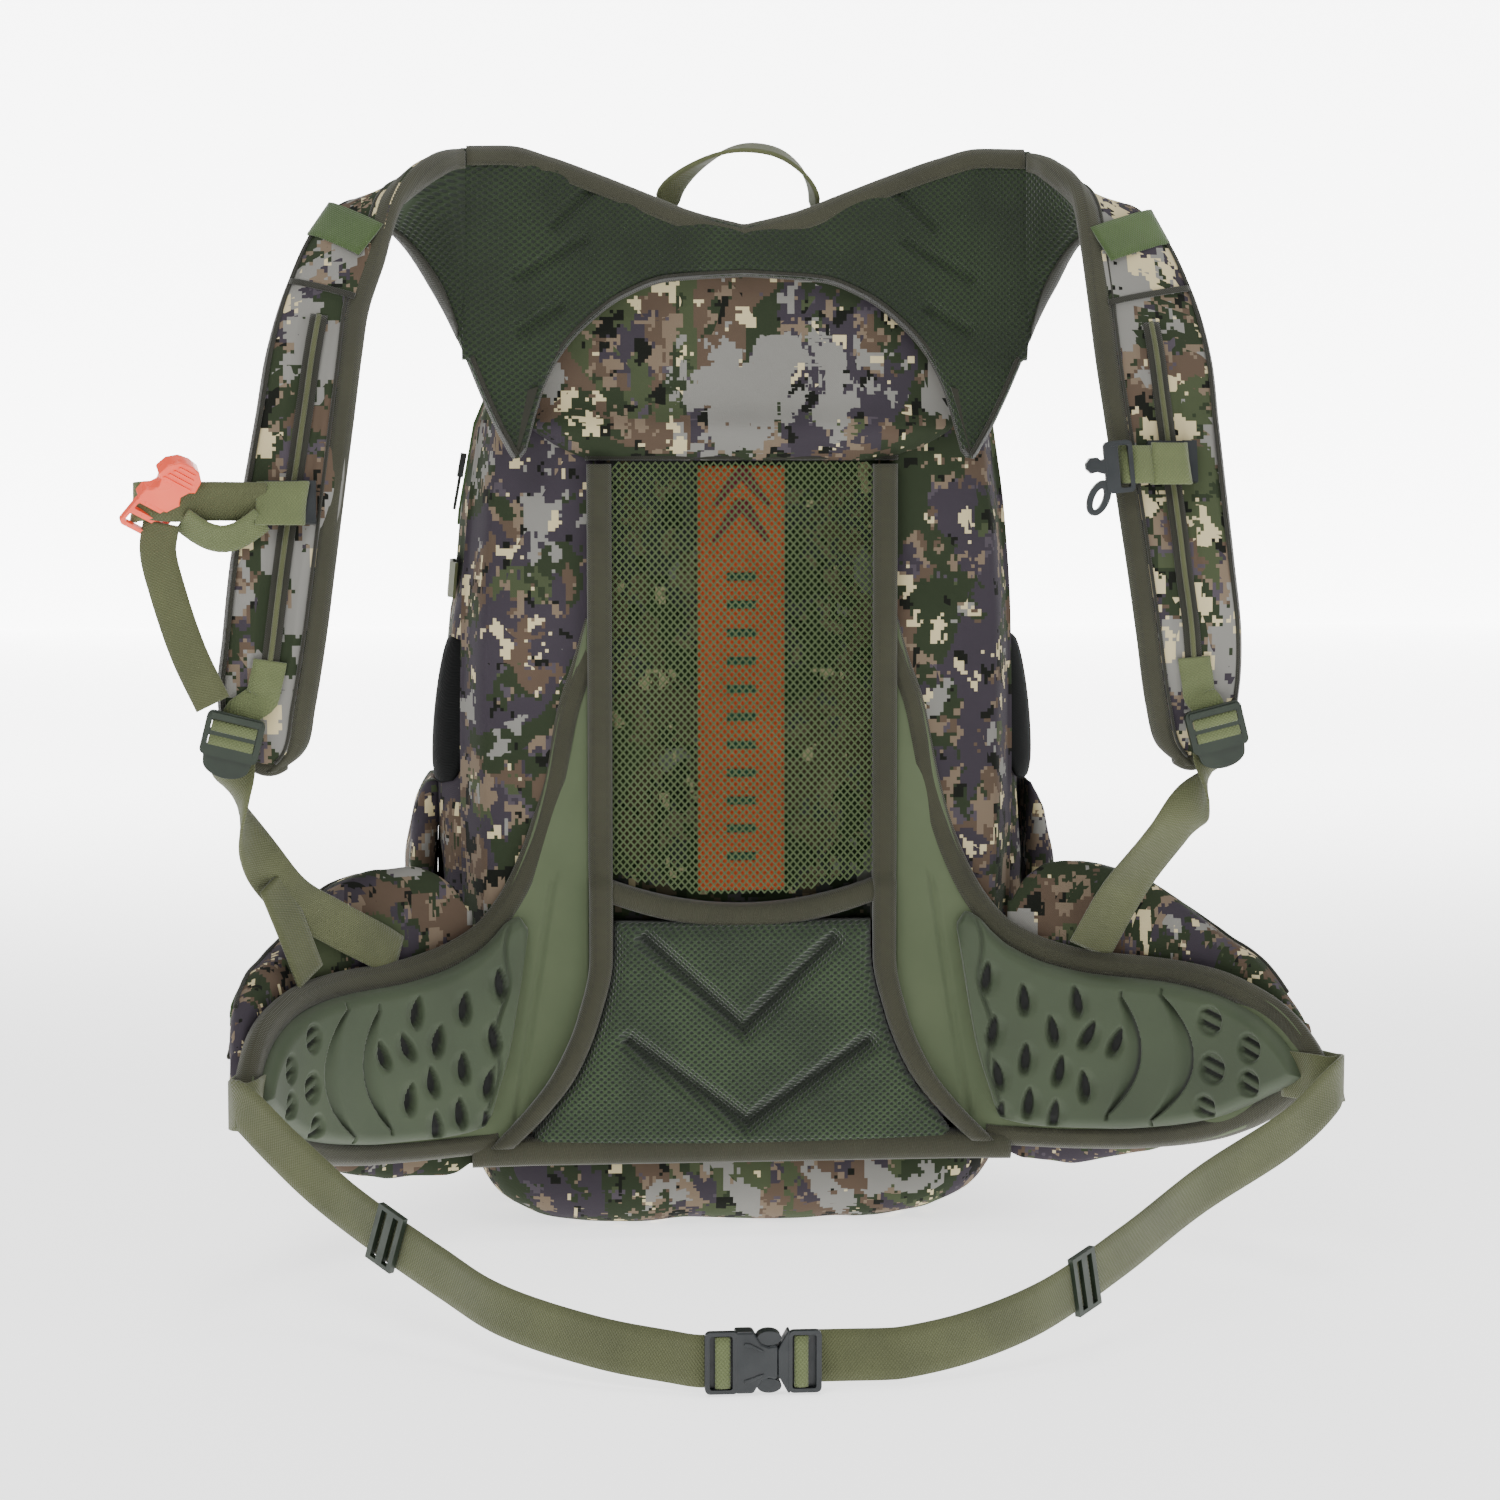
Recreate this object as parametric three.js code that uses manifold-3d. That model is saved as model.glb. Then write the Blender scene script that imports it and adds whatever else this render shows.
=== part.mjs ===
// Hunting day pack standing on its base. Millimetres, +Z up, the wearer's side faces -Y.
// The origin is the centre of the flat base. Left and right are as seen from the front (-Y).
import * as THREE from 'three'
import Module from 'manifold-3d'
import { mergeVertices } from 'three/addons/utils/BufferGeometryUtils.js'

const wasm = await Module()
wasm.setup()

// ---- driving sizes ----
const GAP = 0.4 // clearance kept between neighbouring pieces
const WEB = 25 // belt and shoulder webbing width
const WEB_T = 1.6 // webbing thickness
const BAG_FRONT = -80 // front face of the main bag
const BAG_BACK = 60 // back face of the main bag
const BASE_H = 51.6 // height of the bottom compartment
const FRONT_BACK = 108 // far face of the front compartment, where its slip pocket lies
const PANEL_HALF = 92 // half width of the vented back panel
const NET_HALF = 72 // half width of the suspended net
const NET_TOP = 429
const NET_Y = -110 // plane of the suspended net
const WING_X = 100 // where each hip wing starts to curl
const WING_Y = -104 // middle plane of the hip wing at its root
const WING_LEN = 250 // arc length of one hip wing
const WING_HALF_T = 5 // half thickness of the hip wing
const TURN_RIGHT = 65 // how far each wing has curled, degrees
const TURN_LEFT = 85
const PAD_HALF_T = 5.5 // half thickness of the shoulder pads
const BUCKLE_X = -20 // middle of the waist buckle
const BUCKLE_Y = -442
const BUCKLE_Z = 15.4

const colours = {
  camo: 0x5c5f50,
  camoDark: 0x4f4c58,
  green: 0x3d5a35,
  eva: 0x5f6f50,
  binding: 0x5a5645,
  webbing: 0x6b7050,
  black: 0x1c1f1c,
  plastic: 0x34383a,
  orange: 0xb4552f,
  whistle: 0xff7a5a,
  sheet: 0xd8d8d0,
  metal: 0xb8bcc0
}

const root = new THREE.Group()
root.name = 'hunting_backpack'

function add(name, geometry, colour) {
  const material = new THREE.MeshStandardMaterial({ color: colours[colour] })
  const mesh = new THREE.Mesh(geometry, material)
  mesh.name = name
  root.add(mesh)
  return mesh
}

const v = (x, y, z) => new THREE.Vector3(x, y, z)

// Value at t on a list of [t, value...] rows, straight between the rows.
function along(rows, t, column = 1) {
  if (t <= rows[0][0]) return rows[0][column]
  for (let i = 1; i < rows.length; i++) {
    if (t <= rows[i][0]) {
      const f = (t - rows[i - 1][0]) / (rows[i][0] - rows[i - 1][0])
      return rows[i - 1][column] + f * (rows[i][column] - rows[i - 1][column])
    }
  }
  return rows[rows.length - 1][column]
}

// Even steps from first to last, each about the given size.
function spread(first, last, step) {
  const count = Math.max(1, Math.round((last - first) / step))
  return Array.from({ length: count + 1 }, (_, i) => first + (last - first) * i / count)
}

// Six times the signed volume of a triangle mesh.
function volumeOf(position, index) {
  let sum = 0
  const a = v()
  const b = v()
  const c = v()
  for (let i = 0; i < index.length; i += 3) {
    a.fromArray(position, index[i] * 3)
    b.fromArray(position, index[i + 1] * 3)
    c.fromArray(position, index[i + 2] * 3)
    sum += a.dot(b.cross(c))
  }
  return sum
}

// Closed solid through a row of equal rings of points, with a fan on each end.
function loft(rings) {
  const n = rings[0].length
  const position = []
  const index = []
  for (const ring of rings) {
    for (const p of ring) position.push(p.x, p.y, p.z)
  }
  for (let r = 0; r + 1 < rings.length; r++) {
    for (let i = 0; i < n; i++) {
      const j = (i + 1) % n
      const a = r * n + i
      const b = r * n + j
      index.push(a, b, b + n, a, b + n, a + n)
    }
  }
  for (const r of [0, rings.length - 1]) {
    const centre = v(0, 0, 0)
    for (const p of rings[r]) centre.add(p)
    centre.multiplyScalar(1 / n)
    const c = position.length / 3
    position.push(centre.x, centre.y, centre.z)
    for (let i = 0; i < n; i++) {
      const a = r * n + i
      const b = r * n + (i + 1) % n
      if (r === 0) index.push(c, b, a)
      else index.push(c, a, b)
    }
  }
  if (volumeOf(position, index) < 0) {
    for (let i = 0; i < index.length; i += 3) [index[i], index[i + 1]] = [index[i + 1], index[i]]
  }
  const geometry = new THREE.BufferGeometry()
  geometry.setAttribute('position', new THREE.Float32BufferAttribute(position, 3))
  geometry.setIndex(index)
  geometry.computeVertexNormals()
  return geometry
}

// Rounded rectangle in the XY plane at height z, corner radius r, steps segments a corner.
function roundRing(x0, x1, y0, y1, z, r, steps = 4) {
  const ring = []
  const corners = [[x1 - r, y0 + r, -90], [x1 - r, y1 - r, 0], [x0 + r, y1 - r, 90], [x0 + r, y0 + r, 180]]
  for (const [cx, cy, start] of corners) {
    for (let i = 0; i <= steps; i++) {
      const a = (start + 90 * i / steps) * Math.PI / 180
      ring.push(v(cx + r * Math.cos(a), cy + r * Math.sin(a), z))
    }
  }
  return ring
}

// Bag volume from rows of [z, half width, front y, back y, corner radius].
function bag(rows) {
  return loft(rows.map(([z, half, y0, y1, r]) => roundRing(-half, half, y0, y1, z, r)))
}

// Flat strap through points, lying flat across the given width directions.
function ribbon(points, across, width = WEB, thickness = WEB_T) {
  const rings = points.map((p, i) => {
    const before = points[Math.max(0, i - 1)]
    const after = points[Math.min(points.length - 1, i + 1)]
    const way = after.clone().sub(before).normalize()
    const given = (Array.isArray(across) ? across[i] : across).clone()
    const side = given.sub(way.clone().multiplyScalar(given.dot(way))).normalize()
    const up = way.clone().cross(side).normalize()
    const w = (Array.isArray(width) ? width[i] : width) / 2
    const t = thickness / 2
    return [[-w, -t], [w, -t], [w, t], [-w, t]].map(([a, b]) =>
      p.clone().addScaledVector(side, a).addScaledVector(up, b))
  })
  return loft(rings)
}

// Smooth points through a few chosen ones.
function smooth(points, count) {
  return new THREE.CatmullRomCurve3(points, false, 'centripetal').getSpacedPoints(count)
}

// Geometry to solid body, and back.
function solid(geometry) {
  let g = geometry.clone()
  g.deleteAttribute('normal')
  if (g.getAttribute('uv')) g.deleteAttribute('uv')
  g = mergeVertices(g, 1e-4)
  const mesh = new wasm.Mesh({
    numProp: 3,
    vertProperties: new Float32Array(g.getAttribute('position').array),
    triVerts: new Uint32Array(g.getIndex().array)
  })
  return new wasm.Manifold(mesh)
}

function back(manifold) {
  const mesh = manifold.getMesh()
  const geometry = new THREE.BufferGeometry()
  geometry.setAttribute('position', new THREE.Float32BufferAttribute(mesh.vertProperties, 3))
  geometry.setIndex(Array.from(mesh.triVerts))
  geometry.computeVertexNormals()
  return geometry
}

function box(x0, x1, y0, y1, z0, z1) {
  const g = new THREE.BoxGeometry(x1 - x0, y1 - y0, z1 - z0)
  g.translate((x0 + x1) / 2, (y0 + y1) / 2, (z0 + z1) / 2)
  return g
}

// Union of the first list minus the second list.
function carve(keep, cut) {
  let body = solid(keep[0])
  for (const g of keep.slice(1)) body = body.add(solid(g))
  for (const g of cut) body = body.subtract(solid(g))
  return back(body)
}

// Turns a piece built around its own origin (x along, y out of the face, z across) into place.
function place(geometry, at, xAxis, zAxis) {
  const x = xAxis.clone().normalize()
  const z = zAxis.clone().sub(x.clone().multiplyScalar(zAxis.dot(x))).normalize()
  const y = z.clone().cross(x)
  const matrix = new THREE.Matrix4().makeBasis(x, y, z).setPosition(at)
  return geometry.applyMatrix4(matrix)
}

// ---- bag compartments, each zipped shut and filled ----
const BOTTOM_ROWS = [
  [0, 104, -72, 84, 34], [5, 118, -84, 94, 36], [16, 136, -91, 100, 36],
  [32, 146, -93, 102, 34], [44, 150, -92, 102, 32], [BASE_H, 146, -88, 98, 30]
]
const MAIN_ROWS = [
  [BASE_H + GAP, 148, BAG_FRONT, BAG_BACK - 2, 28], [70, 158, BAG_FRONT, BAG_BACK, 30],
  [130, 165, BAG_FRONT, BAG_BACK, 32], [200, 167, BAG_FRONT, BAG_BACK, 32],
  [260, 165, BAG_FRONT, BAG_BACK, 32], [330, 158, BAG_FRONT, BAG_BACK, 32],
  [400, 152, BAG_FRONT, BAG_BACK, 32], [450, 143, BAG_FRONT, BAG_BACK, 34],
  [490, 126, BAG_FRONT, BAG_BACK - 3, 38], [517, 104, BAG_FRONT + 1, BAG_BACK - 10, 40],
  [536, 78, BAG_FRONT + 6, BAG_BACK - 20, 40], [546, 50, BAG_FRONT + 16, BAG_BACK - 32, 34]
]
const FRONT_ROWS = [
  [BASE_H + 4, 124, BAG_BACK + GAP, 96, 14], [66, 134, BAG_BACK + GAP, 104, 18],
  [120, 142, BAG_BACK + GAP, FRONT_BACK, 20], [220, 142, BAG_BACK + GAP, FRONT_BACK, 20],
  [300, 136, BAG_BACK + GAP, FRONT_BACK, 20], [380, 124, BAG_BACK + GAP, 106, 19],
  [430, 108, BAG_BACK + GAP, 100, 16], [462, 86, BAG_BACK + GAP, 90, 12],
  [480, 60, BAG_BACK + GAP, 80, 8]
]
const POCKET_FRONT = FRONT_BACK + GAP
const POCKET_ROWS = [
  [62, 96, POCKET_FRONT, 118, 4], [72, 106, POCKET_FRONT, 124, 6], [110, 112, POCKET_FRONT, 127, 8],
  [180, 112, POCKET_FRONT, 127, 8], [225, 108, POCKET_FRONT, 122, 6], [240, 100, POCKET_FRONT, 115, 3]
]
add('bag_bottom', bag(BOTTOM_ROWS), 'camo')
add('bag_main', bag(MAIN_ROWS), 'camo')
add('bag_front_compartment', bag(FRONT_ROWS), 'camo')
add('bag_front_pocket', bag(POCKET_ROWS), 'camo')

// ---- carrying frame between the bag and the vented panel ----
add('frame_sheet', box(-84, 84, -84.4, -82.9, 80, 446), 'sheet')
const STAY_X = 52
const STAY_W = 15
for (const [name, side] of [['stay_left', -1], ['stay_right', 1]]) {
  const x = side * STAY_X
  add(name, box(x - STAY_W / 2, x + STAY_W / 2, -87.8, -84.8, 84, 444), 'metal')
}
add('back_panel', box(-PANEL_HALF, PANEL_HALF, -98, -88.3, 62, 448), 'camoDark')
add('vent_strip', box(-24, 24, -100.4, -98.4, 192, 427), 'orange')

// ---- suspended net and its binding ----
const NET_LOW = [[0, 192.5], [40, 197], [NET_HALF, 206]]
function netOutline(half, drop, top) {
  const shape = new THREE.Shape()
  shape.moveTo(-half, top)
  shape.lineTo(-half, along(NET_LOW, half) - drop)
  shape.quadraticCurveTo(0, 179 - drop, half, along(NET_LOW, half) - drop)
  shape.lineTo(half, top)
  shape.closePath()
  return shape
}
function upright(shape, y0, y1, curveSegments = 8) {
  const g = new THREE.ExtrudeGeometry(shape, { depth: y1 - y0, bevelEnabled: false, curveSegments })
  g.rotateX(Math.PI / 2)
  g.translate(0, y1, 0)
  return g
}
add('mesh_net', upright(netOutline(NET_HALF, 0, NET_TOP), NET_Y - 0.5, NET_Y + 0.5), 'green')

// One side band of the binding, from the hood down along the curved edge of the lumbar pad.
const BAND_FRONT = -116
const BAND_BEVEL = 3
const BAND_ROWS = [
  // height, inner edge, outer edge (half widths)
  [428.5, 72.4, 85], [300, 72.4, 85], [215, 72.4, 85], [184, 72.4, 84.5], [156, 72.6, 84.5],
  [124, 79.5, 91], [92, 92.5, 105], [70, 109, 122], [52, 127, 140]
]
function sideBand(side) {
  const rings = BAND_ROWS.map(([z, a, b]) => {
    const y1 = z > 200 ? -106 : -109.6
    const edge = BAND_FRONT + BAND_BEVEL
    return [v(side * a, edge, z), v(side * (a + BAND_BEVEL), BAND_FRONT, z),
      v(side * (b - BAND_BEVEL), BAND_FRONT, z), v(side * b, edge, z), v(side * b, y1, z), v(side * a, y1, z)]
  })
  return loft(rings)
}
// The band under the net, sagging in the middle.
const LOW_BAND_TOP = [[0, 185.6], [40, 190], [NET_HALF, 198.5]]
function lowBand() {
  const rings = spread(-NET_HALF - 2, NET_HALF + 2, 9.25).map((x) => {
    const z1 = along(LOW_BAND_TOP, Math.abs(x))
    return [v(x, -114, z1), v(x, -114, z1 - 11), v(x, -106.5, z1 - 11), v(x, -106.5, z1)]
  })
  return loft(rings)
}
add('net_binding', carve([sideBand(-1), sideBand(1), lowBand()], []), 'binding')

// ---- hood panel and side columns ----
const HANDLE_Y = -99
const HANDLE_PIVOT = 566 // height where the handle leaves its roots
const HANDLE_FEET = [-43, 41]
const HOOD_ROWS = [
  [430, 88, -110, -99, 5], [440, 108, -111, -99, 5], [450, 117, -111, -99, 5],
  [453, 117, -111, -81, 12], [478, 114, -111, -81, 12], [500, 103, -111, -81, 12],
  [520, 86, -111, -81, 12], [540, 70, -110, -82, 10], [556, 54, -109, -88, 8]
]
// The two sewn roots of the carrying handle stand on the hood, gathered narrow where it swings.
const ROOT_W = 6
const handleRoots = HANDLE_FEET.map((x) =>
  box(x - 1.2, x + 1.2, HANDLE_Y - ROOT_W / 2, HANDLE_Y + ROOT_W / 2, 550, HANDLE_PIVOT - 3.4))
add('hood_panel', carve([bag(HOOD_ROWS), ...handleRoots], []), 'camo')
// Rounded ring between two half widths on one side of the bag.
function sideRing(side, inner, outer, y0, y1, z, r) {
  const [x0, x1] = [side * inner, side * outer].sort((a, b) => a - b)
  return roundRing(x0, x1, y0, y1, z, r)
}
const COLUMN_INNER = PANEL_HALF + 0.6
const COLUMN_ROWS = [
  // height, outer half width, front
  [64, 142, -94], [120, 148, -97], [260, 150, -97.4], [340, 150, -97.4], [400, 147, -97.4], [446, 142, -96]
]
for (const [name, side] of [['column_left', -1], ['column_right', 1]]) {
  const rings = COLUMN_ROWS.map(([z, outer, y0]) =>
    sideRing(side, COLUMN_INNER, outer, y0, BAG_FRONT - 0.5, z, 7))
  add(name, loft(rings), 'camo')
}

// ---- stretch panels and side pockets ----
const POCKET_SIDE = [
  // height, inner and outer half width, front, back, corner radius
  [62, 166, 176, -52, 40, 4], [90, 166.5, 183, -58, 46, 7], [140, 168, 186, -58, 46, 8],
  [200, 168.2, 186, -58, 46, 8], [232, 168, 181, -56, 44, 6], [249, 167.5, 173, -50, 40, 2.5]
]
const PATCH_ROWS = [
  // height, thickness, how far it wraps the rounded front corner in degrees, back edge
  [251, 2, -42, 20], [266, 3.5, -52, 34], [290, 3.5, -55, 38], [314, 3.5, -52, 34], [329, 2, -42, 20]
]
const LIFT = 1.2 // clearance of the stretch panel over the rounded corner
for (const [end, side] of [['left', -1], ['right', 1]]) {
  const pocket = POCKET_SIDE.map(([z, ...row]) => sideRing(side, ...row.slice(0, 4), z, row[4]))
  add('side_pocket_' + end, loft(pocket), 'camo')
  const rings = PATCH_ROWS.map(([z, thick, turn, y1]) => {
    const half = along(MAIN_ROWS, z, 1)
    const r = along(MAIN_ROWS, z, 4)
    const at = (radius, degrees) => {
      const a = degrees * Math.PI / 180
      return v(side * (half - r + radius * Math.cos(a)), BAG_FRONT + r + radius * Math.sin(a), z)
    }
    const turns = spread(turn, 0, -turn / 5)
    const outer = turns.map((a) => at(r + LIFT + thick, a))
    const inner = turns.map((a) => at(r + LIFT, a)).reverse()
    return [...outer, v(side * (half + LIFT + thick), y1, z), v(side * (half + LIFT), y1, z), ...inner]
  })
  add('stretch_panel_' + end, loft(rings), 'black')
}

// ---- lumbar pad ----
const LUMBAR_ROWS = [[48.5, 122], [60, 112], [70, 108], [92, 92], [124, 79], [156, 72], [168, 71.8]]
{
  const rings = LUMBAR_ROWS.map(([z, half]) => {
    const w = half - 0.4
    return [v(-w, -109.8, z), v(-w + 8, -117, z), v(0, -118, z), v(w - 8, -117, z), v(w, -109.8, z),
      v(w, -99, z), v(-w, -99, z)]
  })
  // The top edge tucks in under the binding of the net.
  rings.push([v(-70, -110, 172), v(-60, -114, 172), v(0, -115, 173), v(60, -114, 172), v(70, -110, 172),
    v(70, -99, 172), v(-70, -99, 172)])
  add('lumbar_pad', loft(rings), 'green')
}

// ---- hip wings, their moulded pads and pockets ----
const WING_TOP = [[-15, 345], [-8, 320], [0, 297], [10, 250], [20, 218], [35, 189], [50, 173], [75, 162],
  [100, 157.5], [140, 156], [170, 153], [197, 146], [220, 136], [238, 122], [250, 108]]
const WING_LOW = [[-15, 140], [-8, 116], [0, 97], [10, 81], [20, 70], [30, 60], [45, 52], [75, 49], [110, 50],
  [140, 54], [170, 61], [195, 71], [215, 82], [238, 96], [250, 102]]
const PAD_TOP = [[20, 158], [40, 149], [95, 144], [150, 143], [190, 134], [215, 120], [230, 106]]
const PAD_LOW = [[20, 150], [27, 118], [36, 84], [46, 59], [105, 58], [165, 70], [205, 90], [230, 102]]
const HIP_POCKET = [
  // arc position, thickness behind the wing, top, bottom
  [50, 6, 186, 40], [58, 15, 200, 34], [80, 30, 212, 30], [110, 40, 206, 35], [150, 36, 180, 48],
  [190, 26, 158, 62], [212, 17, 142, 76], [222, 10, 130, 86]
]
const wings = {
  left: { side: -1, radius: WING_LEN / (TURN_LEFT * Math.PI / 180) },
  right: { side: 1, radius: WING_LEN / (TURN_RIGHT * Math.PI / 180) }
}
// Point of a wing: arc position, offset away from the wearer, height.
function wingPoint(wing, s, offset, z) {
  const a = Math.max(0, s) / wing.radius
  const straight = Math.min(0, s)
  const x = WING_X + straight + wing.radius * Math.sin(a) + offset * Math.sin(a)
  const y = WING_Y - wing.radius * (1 - Math.cos(a)) + offset * Math.cos(a)
  return v(wing.side * x, y, z)
}
for (const [end, wing] of Object.entries(wings)) {
  const plate = spread(-15, WING_LEN, 11).map((s) => {
    const z1 = along(WING_TOP, s)
    const z0 = along(WING_LOW, s)
    const h = Math.min(3, (z1 - z0) / 4)
    const t = WING_HALF_T
    return [wingPoint(wing, s, -t, z0 + h), wingPoint(wing, s, -t, z1 - h), wingPoint(wing, s, -t + 3, z1),
      wingPoint(wing, s, t, z1), wingPoint(wing, s, t, z0), wingPoint(wing, s, -t + 3, z0)]
  })
  // The plate stops short of the band beside the lumbar pad.
  const fence = BAND_ROWS.map(([z, , b]) => {
    const outer = wing.side * (b + GAP)
    const inner = wing.side * 60
    return [v(inner, -130, z), v(outer, -130, z), v(outer, -98.7, z), v(inner, -98.7, z)]
  })
  add('hip_wing_' + end, carve([loft(plate)], [loft(fence)]), 'green')
  const pad = spread(20, 230, 10).map((s) => {
    const z1 = along(PAD_TOP, s)
    const z0 = along(PAD_LOW, s)
    const h = Math.min(6, (z1 - z0) / 3)
    const t = WING_HALF_T + GAP
    return [wingPoint(wing, s, -t, z0), wingPoint(wing, s, -t, z1), wingPoint(wing, s, -t - 3, z1),
      wingPoint(wing, s, -t - 8, z1 - h), wingPoint(wing, s, -t - 8, z0 + h), wingPoint(wing, s, -t - 3, z0)]
  })
  add('hip_pad_' + end, loft(pad), 'eva')
  const pocket = spread(50, 222, 12).map((s) => {
    const d = along(HIP_POCKET, s, 1)
    const z1 = along(HIP_POCKET, s, 2)
    const z0 = along(HIP_POCKET, s, 3)
    const t = WING_HALF_T + GAP
    const h = Math.min(16, d / 2)
    return [wingPoint(wing, s, t, z0 + 3), wingPoint(wing, s, t, z1 - 3), wingPoint(wing, s, t + h / 2, z1),
      wingPoint(wing, s, t + d - h, z1 - 2), wingPoint(wing, s, t + d, z1 - h - 8),
      wingPoint(wing, s, t + d, z0 + h), wingPoint(wing, s, t + d - h, z0)]
  })
  add('hip_pocket_' + end, loft(pocket), 'camo')
}

// ---- yoke and shoulder straps ----
// Padded piece between two edges, neck edge first. Thin at both edges, full a little way in.
function padded(neck, arm, count, halfT = PAD_HALF_T) {
  const neckCurve = new THREE.CatmullRomCurve3(neck, false, 'centripetal')
  const armCurve = new THREE.CatmullRomCurve3(arm, false, 'centripetal')
  const rings = []
  for (let i = 0; i <= count; i++) {
    const t = i / count
    const a = neckCurve.getPoint(t)
    const b = armCurve.getPoint(t)
    const way = neckCurve.getTangent(t).add(armCurve.getTangent(t)).normalize()
    const across = b.clone().sub(a)
    const normal = way.clone().cross(across).normalize()
    const at = (f, h) => a.clone().addScaledVector(across, f).addScaledVector(normal, h)
    const e = Math.min(0.3, 7 / across.length())
    const thin = halfT * 0.5
    rings.push([at(0, -thin), at(e, -halfT), at(1 - e, -halfT), at(1, -thin),
      at(1, thin), at(1 - e, halfT), at(e, halfT), at(0, thin)])
  }
  return loft(rings)
}

// Yoke: height of its upper and lower edge over the half width x, and how far forward it stands.
const YOKE_Y = -118.4
const YOKE_TOP = [[0, 556], [28, 563], [54, 572], [80, 581], [106, 590], [127, 594], [150, 595]]
const YOKE_LOW = [[0, 530], [42, 527], [66, 518], [86, 503], [100, 487], [109, 470], [115, 451], [120, 434],
  [124, 431], [131, 441], [141, 462], [150, 484]]
const YOKE_FORWARD = [[0, 0], [90, 0], [125, 4], [150, 12]]
{
  const rings = spread(-150, 150, 6).map((x) => {
    const half = Math.abs(x)
    const y = YOKE_Y - along(YOKE_FORWARD, half)
    const z1 = along(YOKE_TOP, half)
    const z0 = along(YOKE_LOW, half)
    const e = Math.min(7, (z1 - z0) * 0.3)
    const t = PAD_HALF_T
    const lean = Math.max(0, half - 110) * 0.12
    return [v(x, y + t / 2, z0), v(x, y + t, z0 + e), v(x, y + t - lean, z1 - e), v(x, y + t / 2 - lean, z1),
      v(x, y - t / 2 - lean, z1), v(x, y - t - lean, z1 - e), v(x, y - t, z0 + e), v(x, y - t / 2, z0)]
  })
  add('yoke', loft(rings), 'green')
}

// Straps: neck edge and arm edge from the yoke over the shoulder and down in front of it.
const STRAPS = {
  left: {
    neck: [[-150.4, -135, 595], [-164, -150, 592], [-177, -168, 581], [-187, -183, 563], [-194, -192, 535],
      [-202, -201, 510], [-206, -208, 485], [-210.3, -214.8, 452], [-215.2, -222.4, 415], [-220, -230, 378],
      [-225, -232, 341], [-231, -228, 306], [-236, -222, 284], [-247, -217, 274]],
    arm: [[-150.4, -130, 484], [-168, -133, 521], [-190, -140, 551], [-210, -153, 562], [-228, -169, 551],
      [-243, -188, 520], [-253, -205, 487], [-258.6, -212.7, 454], [-265.1, -221.6, 417], [-271.5, -230, 380],
      [-276, -230, 341], [-279, -226, 312], [-275, -221, 286], [-262, -217, 274]]
  },
  right: {
    neck: [[150.4, -135, 595], [161, -150, 591], [169, -168, 580], [172, -182, 562], [174, -191, 535],
      [176, -200, 508], [178, -208, 482], [182, -214.8, 449.4], [186.5, -222.4, 412.7], [191, -230, 376],
      [196, -232, 340], [202, -228, 304], [209, -221, 283], [220, -217, 273]],
    arm: [[150.4, -130, 484], [166, -133, 521], [184, -140, 551], [203, -153, 562], [218, -169, 549],
      [231, -188, 518], [238, -205, 483], [240.5, -212.7, 450.5], [243.2, -221.6, 414], [246, -230, 377.5],
      [250, -230, 341], [250, -226, 311], [246, -221, 286], [235, -217, 273]]
  }
}
const toV = (rows) => rows.map((row) => v(...row))
// Frame on a strap face: middle line point at share t, with the strap's own directions.
function strapFrame(end, t, f = 0.5) {
  const a = new THREE.CatmullRomCurve3(toV(STRAPS[end].neck), false, 'centripetal')
  const b = new THREE.CatmullRomCurve3(toV(STRAPS[end].arm), false, 'centripetal')
  const p = a.getPoint(t)
  const q = b.getPoint(t)
  const across = q.clone().sub(p)
  const way = a.getTangent(t).add(b.getTangent(t)).normalize()
  const out = way.clone().cross(across).normalize()
  if (out.y > 0) out.negate()
  return { at: p.clone().addScaledVector(across, f), across: across.normalize(), way, out }
}

// Lays a piece on the outer face of a strap: share of its length, share of its width, lift off the face.
function onStrap(end, t, f, lift) {
  const frame = strapFrame(end, t, f)
  frame.at.addScaledVector(frame.out, PAD_HALF_T + lift)
  return frame
}

// ---- shoulder straps with their sternum rail, and the webbing band over the top of each ----
const TOP_BAND = 0.30 // share of the strap's length
const RAIL_FROM = 0.45
const RAIL_TO = 0.76
for (const [end, edges] of Object.entries(STRAPS)) {
  const pad = padded(toV(edges.neck), toV(edges.arm), 30)
  const rail = spread(RAIL_FROM, RAIL_TO, 0.04).map((t) => onStrap(end, t, 0.5, 0.2))
  const railBody = ribbon(rail.map((f) => f.at), rail.map((f) => f.across), 9, 3)
  add('shoulder_strap_' + end, carve([pad, railBody], [box(-150.5, 150.5, -170, -100, 400, 640)]), 'camo')
  const across = [0.1, 0.3, 0.5, 0.7, 0.9].map((f) => onStrap(end, TOP_BAND, f, 3.3))
  add('strap_band_' + end, ribbon(across.map((f) => f.at), across.map((f) => f.way), 22, 1.6), 'webbing')
}

// ---- buckle parts, built around their own middle: x along the strap, y out of the face, z across ----
// Bar frame: a plate with slots for the webbing, given as [from, to] along x.
function barFrame(x0, x1, y0, y1, half, slots, inside) {
  return carve([box(x0, x1, y0, y1, -half, half)],
    slots.map(([a, b]) => box(a, b, y0 - 1, y1 + 1, -inside, inside)))
}
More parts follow.
